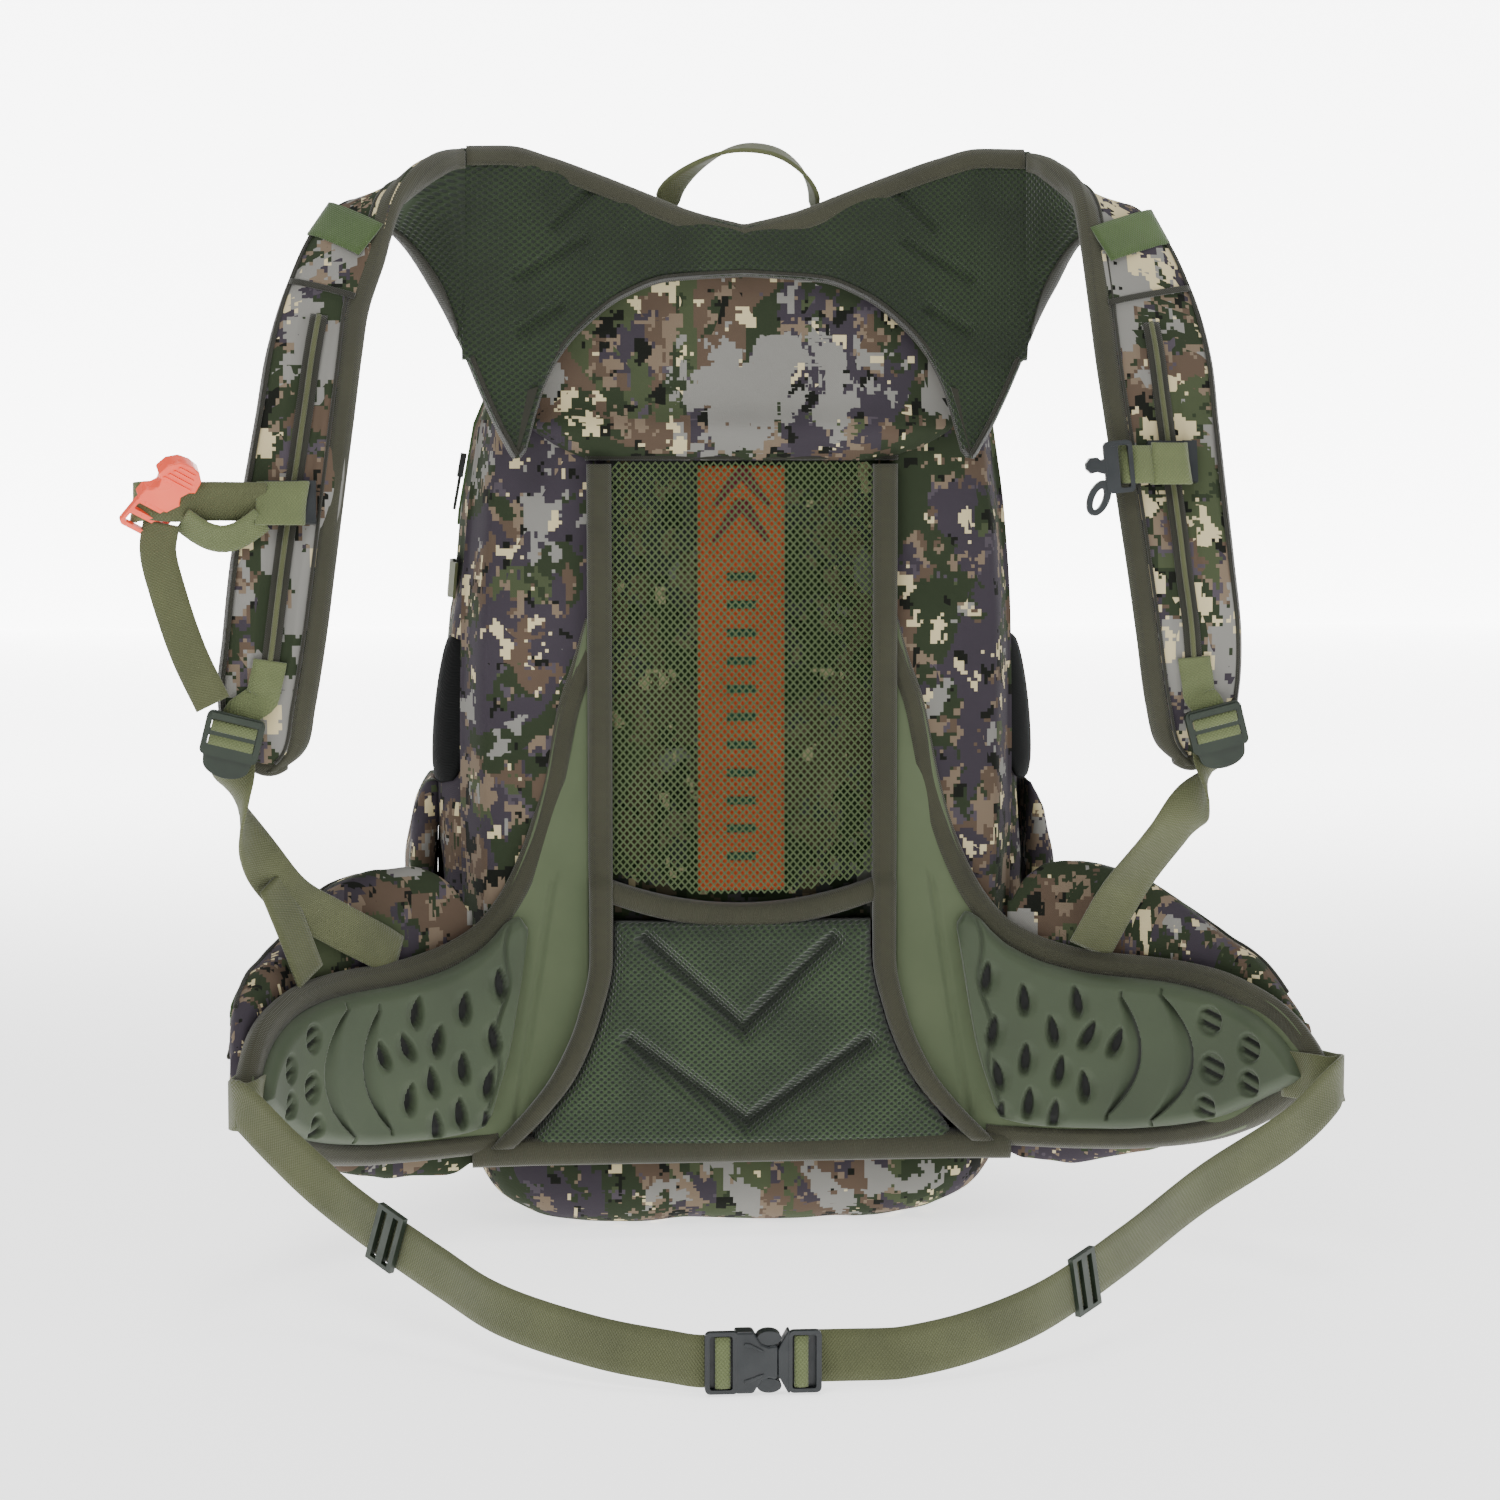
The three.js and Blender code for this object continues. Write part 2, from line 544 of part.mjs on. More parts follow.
// Receiving half: two face plates joined by a back wall, open at both sides for the prongs.
function buckleFemale(k) {
  const frame = box(-26 * k, -9 * k, -5.5 * k, -2 * k, -15 * k, 15 * k)
  const shell = box(-10 * k, 10 * k, -5.5 * k, 5.5 * k, -15 * k, 15 * k)
  return carve([shell, frame], [box(-6 * k, 11 * k, -3.5 * k, 3.5 * k, -16 * k, 16 * k),
    box(-23.5 * k, -19 * k, -6 * k, -1 * k, -12.8 * k, 12.8 * k),
    box(-15.5 * k, -11.5 * k, -6 * k, -1 * k, -12.8 * k, 12.8 * k)])
}
function buckleMale(k) {
  const base = box(10.3 * k, 17 * k, -4 * k, 4 * k, -12 * k, 12 * k)
  const frame = box(16 * k, 28 * k, -5.5 * k, -2 * k, -15 * k, 15 * k)
  const tongue = box(-4.5 * k, 11 * k, -1.5 * k, 1.5 * k, -1.6 * k, 1.6 * k)
  return carve([base, frame, tongue], [box(18.2 * k, 21.4 * k, -6 * k, -1 * k, -12.8 * k, 12.8 * k),
    box(23.4 * k, 26.4 * k, -6 * k, -1 * k, -12.8 * k, 12.8 * k)])
}
// Sprung prong, hook outward, on the side given by +1 or -1.
function prong(k, side) {
  const shape = new THREE.Shape()
  const outline = [[10, 5.5], [10, 8.6], [0, 8.6], [0, 14.6], [-3.5, 14.2], [-5.3, 11], [-5.3, 5.5]]
  shape.setFromPoints(outline.map(([x, z]) => new THREE.Vector2(x * k, side * z * k)))
  const g = new THREE.ExtrudeGeometry(shape, { depth: 6 * k, bevelEnabled: false })
  g.rotateX(Math.PI / 2)
  g.translate(0, 3 * k, 0)
  return carve([g], [])
}

// ---- sternum strap: slider on each rail, webbing, buckle halves, tail ----
const STERNUM_AT = { left: 0.633, right: 0.585 } // share of each strap's length
const SMALL = 0.8 // 20 mm webbing against the 25 mm buckle
const SMALL_WEB = 20
const sternumFrame = {}
for (const end of ['left', 'right']) {
  const f = onStrap(end, STERNUM_AT[end], 0.5, 4.9)
  sternumFrame[end] = f
  const level = v(end === 'left' ? -1 : 1, 0, 0)
  const body = carve([box(-13, 13, -2, 2, -11, 11)], [box(-5.4, 5.4, -3, -0.7, -12, 12)])
  add('sternum_slider_' + end, place(body, f.at, level, f.way.clone().negate()), 'plastic')
}
const WEB_LIFT = 4.4 // webbing in front of the slider's middle
{
  const f = sternumFrame.left
  const y = f.at.y - WEB_LIFT
  const drop = f.way.clone().negate()
  const from = (dx, dy, dz) => v(f.at.x + dx, y + dy, f.at.z + dz)
  const path = [from(10, 0, 0), from(-16, 0, 0), v(-270, y - 1, f.at.z - 3), v(-284, y - 3, f.at.z - 5)]
  const fold = [from(-18, -1.8, -6), from(-24, -1.6, -14), from(-32, 0, -20), from(-40, -0.6, -16),
    from(-45, -3.4, -10)]
  const droop = ribbon(smooth(fold, 8), v(0, -0.2, 1), 13)
  add('sternum_web_left', carve([ribbon(path, drop, SMALL_WEB), droop], []), 'webbing')
}
const WHISTLE_AT = v(-302, -243, 417)
const WHISTLE_WAY = v(0.62, -0.3, 0.72)
const WHISTLE_ACROSS = v(-0.62, -0.55, 0.55)
add('sternum_buckle_female', place(buckleFemale(SMALL), WHISTLE_AT, WHISTLE_WAY, WHISTLE_ACROSS), 'whistle')
{
  const tail = [v(-310, -236, 388), v(-307, -240, 366), v(-297, -244, 336), v(-283, -246, 309)]
  add('sternum_tail_left', ribbon(smooth(tail, 10), v(0.9, -0.2, 0.3), SMALL_WEB), 'webbing')
}
{
  const f = sternumFrame.right
  const y = f.at.y - WEB_LIFT
  const path = [11, -14, -24].map((dx) => v(f.at.x + dx, y, f.at.z))
  add('sternum_web_right', ribbon(path, f.way.clone().negate(), SMALL_WEB), 'webbing')
  const neck = box(6 * SMALL, 11 * SMALL, -2.4 * SMALL, 2.4 * SMALL, -9 * SMALL, 9 * SMALL)
  const hook = carve([buckleMale(SMALL), prong(SMALL, 1), prong(SMALL, -1), neck], [])
  const at = v(f.at.x - 42, y - 2.6, f.at.z - 6)
  add('sternum_buckle_male', place(hook, at, v(1, 0, 0.25), v(-0.25, 0, 1)), 'plastic')
}

// ---- strap ends: tab, ladder lock, lower strap to the top of the wing ----
const LOCK_AT = { left: v(-272, -241, 290), right: v(236, -241, 291) }
const LOWER_FOOT = { left: 172.5, right: 164 } // height of that seam
const LOWER_END = { left: 108, right: 95 } // arc position where each strap is sewn to the wing
for (const [end, side] of [['left', -1], ['right', 1]]) {
  const lock = LOCK_AT[end]
  const tilt = side * 0.3
  const down = v(side * 0.25, 0, -1)
  const body = barFrame(-12, 12, -2.5, 2.5, 14.5, [[-9, -5.5], [-2.6, 1], [4, 7.5]], 12.2)
  add('ladder_lock_' + end, place(body, lock, down, v(1, 0, tilt)), 'plastic')
  const one = onStrap(end, 0.79, 0.5, 1.4)
  const two = onStrap(end, 0.85, 0.56, 1.4)
  const tab = [one.at, two.at, v(lock.x - side * 7, -236.6, lock.z + 12),
    v(lock.x - side * 3, -236.6, lock.z + 3)]
  add('strap_tab_' + end, ribbon(tab, v(1, 0, tilt), 18), 'webbing')
  const wing = wings[end]
  const foot = wingPoint(wing, LOWER_END[end], 0, LOWER_FOOT[end])
  const ahead = wingPoint(wing, LOWER_END[end] + 5, 0, 0)
  const footWay = end === 'left' ? v(0.1, 0, -1) : ahead.sub(wingPoint(wing, LOWER_END[end] - 5, 0, 0))
  const path = end === 'left'
    ? [v(-273, -235.6, 279), v(-271, -229, 262), v(-265, -212, 236), v(-247, -186, 204),
      v(-222, -161, 184), foot]
    : [v(237, -235.6, 279), v(233, -229, 262), v(219, -200, 232), v(204, -160, 198), foot]
  const level = v(side, 0, side * tilt)
  const points = smooth(path, 20)
  const across = points.map((_, i) => level.clone().lerp(footWay.clone().normalize(), i / 20))
  const parts = [ribbon(points, across)]
  if (end === 'left') {
    const second = wingPoint(wing, 160, 0, 162)
    const secondWay = wingPoint(wing, 165, 0, 162).sub(wingPoint(wing, 155, 0, 162))
    parts.push(ribbon(smooth([v(-252, -194, 207), v(-247, -187, 192), second], 6), secondWay))
  }
  add('lower_strap_' + end, carve(parts, []), 'webbing')
}

// ---- waist belt ----
const TIP_Z = 105
const BELT = {
  left: [[-270, -270, 108], [-246, -290, 88], [-218, -310, 66], [-168, -360, 40], [-141, -390, 29],
    [-95, -422, 20], [-62, -436, 16.2]],
  right: [[301, -250, 106], [275, -268, 87], [216, -308, 63], [165, -361, 44], [115, -408, 28],
    [76, -428, 19.5], [46, -436.4, 15.8]]
}
const BELT_FLAT_Y = { left: BUCKLE_Y + 0.4, right: BUCKLE_Y + 5.6 } // webbing plane behind each frame
for (const [end, wing] of Object.entries(wings)) {
  const rest = BELT[end].map((row) => v(...row))
  const first = [224, 238, 250].map((s) => wingPoint(wing, s, WING_HALF_T + 1.5, TIP_Z))
  first.push(wingPoint(wing, 257, 4.5, TIP_Z + 1))
  const last = (end === 'left' ? [-50, -31.5] : [40, 20, -5]).map((x) => v(x, BELT_FLAT_Y[end], BUCKLE_Z))
  const points = [...first, ...rest, ...last]
  add('belt_webbing_' + end, ribbon(points, v(0, 0, 1)), 'webbing')
}
const buckleAt = v(BUCKLE_X, BUCKLE_Y, BUCKLE_Z)
const buckleParts = {
  belt_buckle_female: buckleFemale(1),
  belt_buckle_male: buckleMale(1),
  buckle_prong_upper: prong(1, 1),
  buckle_prong_lower: prong(1, -1)
}
for (const [name, part] of Object.entries(buckleParts)) {
  add(name, place(part, buckleAt, v(1, 0, 0), v(0, 0, 1)), 'plastic')
}
for (const [end, from, to] of [['left', 2, 3], ['right', 3, 4]]) {
  const a = v(...BELT[end][from])
  const b = v(...BELT[end][to])
  const way = b.clone().sub(a).normalize()
  const at = a.clone().lerp(b, 0.5)
  const face = v(0, 0, 1).cross(way).normalize()
  if (face.y > 0) face.negate()
  at.addScaledVector(face, WEB_T / 2 + 2.2)
  const body = barFrame(-9, 9, -1.6, 1.6, 15, [[-6, -2.2], [2.2, 6]], 12.8)
  add('belt_triglide_' + end, place(body, at, way, v(0, 0, 1)), 'plastic')
}

// ---- carrying handle ----
{
  const arch = [[-37, 578], [-25, 589], [-9, 597.5], [5, 600], [21, 597], [33, 588], [39, 578]]
  const rows = [[HANDLE_FEET[0], HANDLE_PIVOT], ...arch, [HANDLE_FEET[1], HANDLE_PIVOT]]
  const path = rows.map(([x, z]) => v(x, HANDLE_Y, z))
  const steps = 24
  const widths = spread(0, steps, 1).map((i) => Math.min(17, ROOT_W + 4 * Math.min(i, steps - i)))
  add('top_handle', ribbon(smooth(path, steps), v(0, 1, 0), widths, 1.8), 'webbing')
}

// ---- zips, sliders and compression straps ----
const ZIP_W = 9
const ZIP_T = 1.6
const ZIP_Y = 18 // the main zip's plane on the sides of the bag
const FRONT_ZIP_Z = 262
const STRAP_Z = 362 // height of the compression straps
const sideX = (z) => along(MAIN_ROWS, z, 1)
{
  const up = [392, 400, 450, 490, 517, 536].map((z) => [sideX(z) + 1.3, z])
  const path = [...up.map(([x, z]) => v(-x, ZIP_Y, z)), v(-50.5, ZIP_Y, 547.4), v(50.5, ZIP_Y, 547.4),
    ...up.reverse().map(([x, z]) => v(x, ZIP_Y, z))]
  add('main_zip', ribbon(path, v(0, 1, 0), ZIP_W, ZIP_T), 'black')
}
const sliderBody = () => carve([box(-7, 7, -1.8, 1.8, -5, 5), box(-26, -5, -0.9, 0.9, -3, 3)], [])
for (const [end, side] of [['left', -1], ['right', 1]]) {
  const a = v(side * (sideX(400) + 1.3), ZIP_Y, 400)
  const b = v(side * (sideX(450) + 1.3), ZIP_Y, 450)
  const way = b.clone().sub(a).normalize()
  const out = v(0, side, 0).cross(way).normalize()
  if (out.x * side < 0) out.negate()
  const at = a.clone().addScaledVector(way, 26).addScaledVector(out, ZIP_T / 2 + 2.4)
  add('main_zip_slider_' + end, place(sliderBody(), at, way, v(0, 1, 0)), 'plastic')
  const lift = (y, d) => v(side * (sideX(STRAP_Z) + d), y, STRAP_Z)
  const hold = [lift(-47, 1.4), lift(-38, 1.4), lift(-28, 4), lift(16, 4), lift(26, 1.4)]
  const slope = v(side * (sideX(STRAP_Z + 12) - sideX(STRAP_Z - 12)), 0, 24)
  add('compression_strap_' + end, ribbon(hold, slope, SMALL_WEB), 'webbing')
}
const FRONT_ZIP_Y = FRONT_BACK + GAP
{
  const half = ZIP_W / 2
  const tape = box(-96, 96, FRONT_ZIP_Y, FRONT_ZIP_Y + ZIP_T, FRONT_ZIP_Z - half, FRONT_ZIP_Z + half)
  add('front_zip', tape, 'black')
  const at = v(78, FRONT_ZIP_Y + 4, FRONT_ZIP_Z)
  add('front_zip_slider', place(sliderBody(), at, v(1, 0, 0), v(0, 0, 1)), 'plastic')
}

export default root
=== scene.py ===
# The looks of the hunting backpack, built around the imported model. Lengths in the helpers are in
# millimetres and become metres when a mesh is made. +Z up, the wearer's side faces -Y.
import math

import bmesh
import bpy
import numpy as np
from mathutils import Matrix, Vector, noise
from mathutils.geometry import tessellate_polygon


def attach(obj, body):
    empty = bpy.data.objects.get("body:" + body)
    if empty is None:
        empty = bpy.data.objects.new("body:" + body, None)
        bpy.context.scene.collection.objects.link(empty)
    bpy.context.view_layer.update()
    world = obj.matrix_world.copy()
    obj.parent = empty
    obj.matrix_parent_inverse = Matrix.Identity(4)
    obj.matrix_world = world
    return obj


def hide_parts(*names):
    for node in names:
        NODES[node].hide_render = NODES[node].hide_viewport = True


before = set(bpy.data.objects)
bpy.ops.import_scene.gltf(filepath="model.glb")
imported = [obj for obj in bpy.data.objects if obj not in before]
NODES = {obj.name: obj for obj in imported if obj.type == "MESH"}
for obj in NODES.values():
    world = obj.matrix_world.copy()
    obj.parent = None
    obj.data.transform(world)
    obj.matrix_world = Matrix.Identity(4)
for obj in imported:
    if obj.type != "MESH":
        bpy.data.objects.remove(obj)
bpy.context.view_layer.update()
MM = 0.001

# ---------------------------------------------------------------- camera, light and floor
CAMERA_YAW = 5.126  # degrees to the right of straight on
CAMERA_PITCH = 5.13  # degrees down
CAMERA_PLACE = (-0.1743, -2.0974, 0.450)
LENS = 87.27


LIGHTS = [
    ("key", (-1.1, -2.1, 2.5), 1.2, 36.0),
    ("fill", (1.9, -1.7, 1.2), 1.8, 14.0),
    ("top", (0.1, -0.2, 2.4), 1.0, 18.0),
    ("rear", (0.6, 2.4, 1.8), 1.8, 16.0),
]  # name, place, size, power
LIGHT_AIM = Vector((0, -0.1, 0.3))
WORLD_STRENGTH = 0.55
FLOOR_HALF = 8.0
FLOOR_GLOW = (0.3, 2.6, 1.55, 5.2)  # the glow grows from the first Y to the second, from 1.55 to 5.2
WALL_GLOW = 5.0


def add_object(name, data):
    made = bpy.data.objects.new(name, data)
    bpy.context.scene.collection.objects.link(made)
    return made


def studio_sheet(name, corners, shade, roughness, glow):
    """A flat piece of the studio that gives off light: the object, its material's nodes and inputs."""
    mesh = bpy.data.meshes.new(name)
    mesh.from_pydata(corners, [], [(0, 1, 2, 3)])
    material = bpy.data.materials.new(name)
    material.use_nodes = True
    inputs = material.node_tree.nodes["Principled BSDF"].inputs
    inputs["Base Color"].default_value = (shade, shade, shade, 1)
    inputs["Roughness"].default_value = roughness
    inputs["Emission Color"].default_value = (1, 1, 1, 1)
    inputs["Emission Strength"].default_value = glow
    mesh.materials.append(material)
    return add_object(name, mesh), material.node_tree, inputs


def set_stage():
    camera = bpy.data.cameras.new("camera")
    camera.lens = LENS
    camera.sensor_width = 36.0
    camera_object = add_object("camera", camera)
    camera_object.location = CAMERA_PLACE
    camera_object.rotation_euler = (math.radians(90 - CAMERA_PITCH), 0, math.radians(-CAMERA_YAW))
    bpy.context.scene.camera = camera_object
    world = bpy.data.worlds.new("world")
    world.use_nodes = True
    background = world.node_tree.nodes["Background"]
    background.inputs["Color"].default_value = (1.0, 1.0, 1.0, 1)
    background.inputs["Strength"].default_value = WORLD_STRENGTH
    bpy.context.scene.world = world
    for name, place, size, power in LIGHTS:
        data = bpy.data.lights.new(name, "AREA")
        data.size = size
        data.energy = power
        lamp = add_object(name, data)
        lamp.location = place
        lamp.rotation_euler = (LIGHT_AIM - Vector(place)).to_track_quat("-Z", "Y").to_euler()
    corners = [(FLOOR_HALF * x, FLOOR_HALF * y, 0) for x, y in ((-1, -1), (1, -1), (1, 1), (-1, 1))]
    floor, tree, inputs = studio_sheet("floor", corners, 0.95, 0.9, 1.0)
    floor.location.z = -0.0005
    # The floor glows more the further it is behind the pack, so that it meets the wall unseen.
    place = tree.nodes.new("ShaderNodeTexCoord")
    far = tree.nodes.new("ShaderNodeSeparateXYZ")
    tree.links.new(place.outputs["Object"], far.inputs[0])
    spread = tree.nodes.new("ShaderNodeMapRange")
    spread.interpolation_type = "SMOOTHSTEP"
    for socket, value in zip(spread.inputs[1:5], FLOOR_GLOW):
        socket.default_value = value
    tree.links.new(far.outputs["Y"], spread.inputs[0])
    tree.links.new(spread.outputs[0], inputs["Emission Strength"])
    # A bright wall far behind the pack.
    corners = [(-2.2, 6, -0.1), (3.4, 6, -0.1), (3.4, 6, 2.2), (-2.2, 6, 2.2)]
    backdrop = studio_sheet("backdrop", corners, 0.9, 0.5, WALL_GLOW)[0]


# ---------------------------------------------------------------- materials
def hexa(code):
    """sRGB hex text to linear colour."""
    out = []
    for i in (0, 2, 4):
        c = int(code[i:i + 2], 16) / 255
        out.append(c / 12.92 if c <= 0.04045 else ((c + 0.055) / 1.055) ** 2.4)
    return (*out, 1.0)


class Graph:
    """Short names for building a node tree."""

    def __init__(self, name, roughness=0.8, sheen=0.0, specular=0.5):
        self.material = bpy.data.materials.new(name)
        self.material.use_nodes = True
        self.tree = self.material.node_tree
        self.shader = self.tree.nodes["Principled BSDF"]
        self.shader.inputs["Roughness"].default_value = roughness
        self.shader.inputs["Specular IOR Level"].default_value = specular
        self.shader.inputs["Sheen Weight"].default_value = sheen

    def node(self, kind, **settings):
        made = self.tree.nodes.new(kind)
        for key, value in settings.items():
            setattr(made, key, value)
        return made

    def link(self, a, b):
        self.tree.links.new(a, b)

    def put(self, socket, value):
        if isinstance(value, bpy.types.NodeSocket):
            self.link(value, socket)
        else:
            socket.default_value = value

    def place(self, kind="Object"):
        return self.node("ShaderNodeTexCoord").outputs[kind]

    def split(self, where):
        made = self.node("ShaderNodeSeparateXYZ")
        self.link(where, made.inputs[0])
        return made.outputs

    def math(self, operation, a, b=0.0):
        made = self.node("ShaderNodeMath", operation=operation)
        for socket, value in zip(made.inputs, (a, b)):
            self.put(socket, value)
        return made.outputs[0]

    def times(self, a, b):
        return self.math("MULTIPLY", a, b)

    def vector(self, operation, a, b=(0, 0, 0)):
        made = self.node("ShaderNodeVectorMath", operation=operation)
        self.put(made.inputs[0], a)
        self.put(made.inputs[1], b)
        return made.outputs[0]

    def snap(self, where, cell):
        """Places rounded down to a grid of cubes."""
        return self.vector("MULTIPLY", self.vector("FLOOR", self.vector("MULTIPLY", where, (1 / cell,) * 3)),
                           (cell,) * 3)

    def noise(self, where, scale, detail=2.0, rough=0.5, shift=None):
        made = self.node("ShaderNodeTexNoise")
        if shift is not None:
            where = self.vector("ADD", where, shift)
        self.put(made.inputs["Vector"], where)
        made.inputs["Scale"].default_value = scale
        made.inputs["Detail"].default_value = detail
        made.inputs["Roughness"].default_value = rough
        return made.outputs["Fac"]

    def ramp(self, factor, stops, mode="LINEAR"):
        made = self.node("ShaderNodeValToRGB")
        made.color_ramp.interpolation = mode
        elements = made.color_ramp.elements
        while len(elements) < len(stops):
            elements.new(0.5)
        for element, (position, colour) in zip(elements, stops):
            element.position = position
            element.color = colour if isinstance(colour, tuple) else (colour, colour, colour, 1)
        self.put(made.inputs["Fac"], factor)
        return made.outputs["Color"]

    def steps(self, factor, *stops):
        return self.ramp(factor, stops, "CONSTANT")

    def cloud(self, scale, detail, low=0.3, high=0.7, first=0.0, last=1.0):
        """Soft patches between two values."""
        return self.ramp(self.noise(self.place(), scale, detail), [(low, first), (high, last)])

    def mix(self, factor, a, b, mode="MIX"):
        made = self.node("ShaderNodeMix", data_type="RGBA", blend_type=mode)
        self.put(made.inputs[0], factor)
        self.put(made.inputs[6], a)
        self.put(made.inputs[7], b)
        return made.outputs[2]

    def bump(self, height, strength, distance):
        made = self.node("ShaderNodeBump")
        made.inputs["Strength"].default_value = strength
        made.inputs["Distance"].default_value = distance
        self.link(height, made.inputs["Height"])
        return made.outputs["Normal"]

    def cloth_bump(self, scale, strength, distance, pitch, weave):
        """A plain weave over soft unevenness."""
        soft_bump = self.bump(self.noise(self.place(), scale, 3.0), strength, distance)
        split = self.split(self.place())
        turn = 2 * math.pi / pitch
        a = self.math("SINE", self.times(self.math("ADD", split[0], split[1]), turn))
        b = self.math("SINE", self.times(split[2], turn))
        fine = self.bump(self.times(a, b), weave, 0.0004)
        self.link(soft_bump, fine.node.inputs["Normal"])
        return fine

    def finish(self, colour, normal, roughness=None):
        self.put(self.shader.inputs["Base Color"], colour)
        self.link(normal, self.shader.inputs["Normal"])
        if roughness is not None:
            self.link(roughness, self.shader.inputs["Roughness"])
        return self.material


CAMO = {
    "purple": hexa("3b363d"),
    "violet": hexa("4c464d"),
    "olive": hexa("434b35"),
    "moss": hexa("2e3626"),
    "brown": hexa("57493d"),
    "taupe": hexa("746656"),
    "grey": hexa("7f7e79"),
    "cream": hexa("c8bb93"),
    "black": hexa("171914"),
}


CAMO_CELL = 0.0019  # side of a printed square, in metres


def camo_material(name, cream=0.635, grey=0.66, shift=(0, 0, 0), tint=None, cluster=None):
    """Printed digital camouflage: blotches snapped to a small square grid. cluster is the middle of a
    large pale patch."""
    g = Graph(name, roughness=0.88, sheen=0.03, specular=0.12)
    ink = CAMO
    stretch = g.vector("MULTIPLY", g.snap(g.vector("ADD", g.place(), shift), CAMO_CELL), (1.0, 1.0, 0.8))
    big = g.noise(stretch, 13.0, 2.5, 0.55)
    mid = g.noise(stretch, 34.0, 3.0, 0.6, shift=(3.1, 1.7, 5.2))
    small = g.noise(stretch, 62.0, 3.0, 0.62, shift=(7.3, 2.9, 1.4))
    spots = g.noise(stretch, 75.0, 2.0, 0.6, shift=(1.3, 8.8, 4.1))
    light = g.noise(stretch, 20.0, 2.0, 0.5, shift=(9.2, 3.3, 6.7))
    ground = g.steps(big, (0.0, ink["purple"]), (0.40, ink["moss"]), (0.50, ink["brown"]),
                     (0.565, ink["purple"]), (0.63, ink["olive"]))
    second = g.steps(mid, (0.0, ink["olive"]), (0.36, ink["violet"]), (0.44, ink["taupe"]),
                     (0.60, ink["brown"]), (0.68, ink["moss"]))
    colour = g.mix(g.steps(small, (0.0, 1.0), (0.455, 0.0), (0.60, 1.0)), ground, second)
    # Whole areas lean to one colour: purple, green or brown.
    zone = g.noise(stretch, 7.0, 1.5, 0.5, shift=(2.2, 6.1, 3.7))
    lean = g.steps(zone, (0.0, ink["purple"]), (0.44, ink["moss"]), (0.53, ink["brown"]), (0.60, ink["olive"]))
    mask = g.steps(g.noise(stretch, 46.0, 3.0, 0.6, shift=(4.4, 0.9, 7.7)), (0.0, 1.0), (0.50, 0.0))
    colour = g.mix(mask, colour, lean)
    colour = g.mix(g.steps(spots, (0.0, 1.0), (0.375, 0.0)), colour, ink["black"])
    pale = g.times(g.steps(mid, (0.0, 0.0), (grey - 0.07, 1.0)), g.steps(light, (0.0, 0.0), (0.50, 1.0)))
    colour = g.mix(pale, colour, ink["grey"])
    bits = g.times(g.steps(small, (0.0, 0.0), (cream - 0.02, 1.0)), g.steps(light, (0.0, 1.0), (0.56, 0.0)))
    colour = g.mix(bits, colour, ink["cream"])
    if cluster is not None:
        apart = g.vector("SUBTRACT", g.snap(g.place(), CAMO_CELL), cluster)
        apart = g.vector("MULTIPLY", apart, (1 / 0.085, 0, 1 / 0.045))
        reach = g.node("ShaderNodeVectorMath", operation="LENGTH")
        g.link(apart, reach.inputs[0])
        patchy = g.noise(stretch, 52.0, 3.0, 0.6, shift=(5.5, 4.2, 8.8))
        level = g.math("SUBTRACT", g.math("ADD", patchy, 0.21), g.times(reach.outputs["Value"], 0.34))
        colour = g.mix(g.steps(level, (0.0, 0.0), (0.55, 1.0)), colour, ink["grey"])
    if tint is not None:
        colour = g.mix(0.55, colour, tint)
    colour = g.mix(1.0, colour, g.cloud(6.0, 3.0, first=0.82), "MULTIPLY")
    return g.finish(colour, g.cloth_bump(90.0, 0.25, 0.0012, 0.0009, 0.25))


def painted_hollow_shade(g, base, share, colour):
    """Painted shade: darkens base towards colour where the mesh's dip attribute says that it is pressed in."""
    dip = g.node("ShaderNodeAttribute", attribute_name="dip")
    return g.mix(g.times(dip.outputs["Fac"], share), base, colour)


def mesh_material(name, dark, pale, pitch=0.0036, sheen=0.25):
    """Spacer mesh: a regular lattice of small open eyes over a darker ground."""
    g = Graph(name, roughness=0.75, sheen=sheen, specular=0.3)
    split = g.split(g.place())
    sideways = g.times(g.math("SUBTRACT", split[0], g.times(split[1], 0.6)), 0.86)
    join = g.node("ShaderNodeCombineXYZ")
    g.link(g.math("ADD", sideways, split[2]), join.inputs[0])
    g.link(g.math("SUBTRACT", sideways, split[2]), join.inputs[1])
    cells = g.node("ShaderNodeTexVoronoi", voronoi_dimensions="2D", feature="F1")
    g.link(join.outputs[0], cells.inputs["Vector"])
    cells.inputs["Scale"].default_value = 1 / pitch
    cells.inputs["Randomness"].default_value = 0.0
    eye = g.ramp(cells.outputs["Distance"], [(0.22, 0.0), (0.44, 1.0)])
    thread = g.mix(g.cloud(22.0, 3.0, 0.35, 0.65), pale, dark)
    # Painted shade in the grooves, from the dip attribute, over the eyes and threads.
    colour = painted_hollow_shade(g, g.mix(eye, hexa("131c12"), thread), 0.75, hexa("0d130b"))
    return g.finish(colour, g.bump(eye, 0.7, 0.0012))


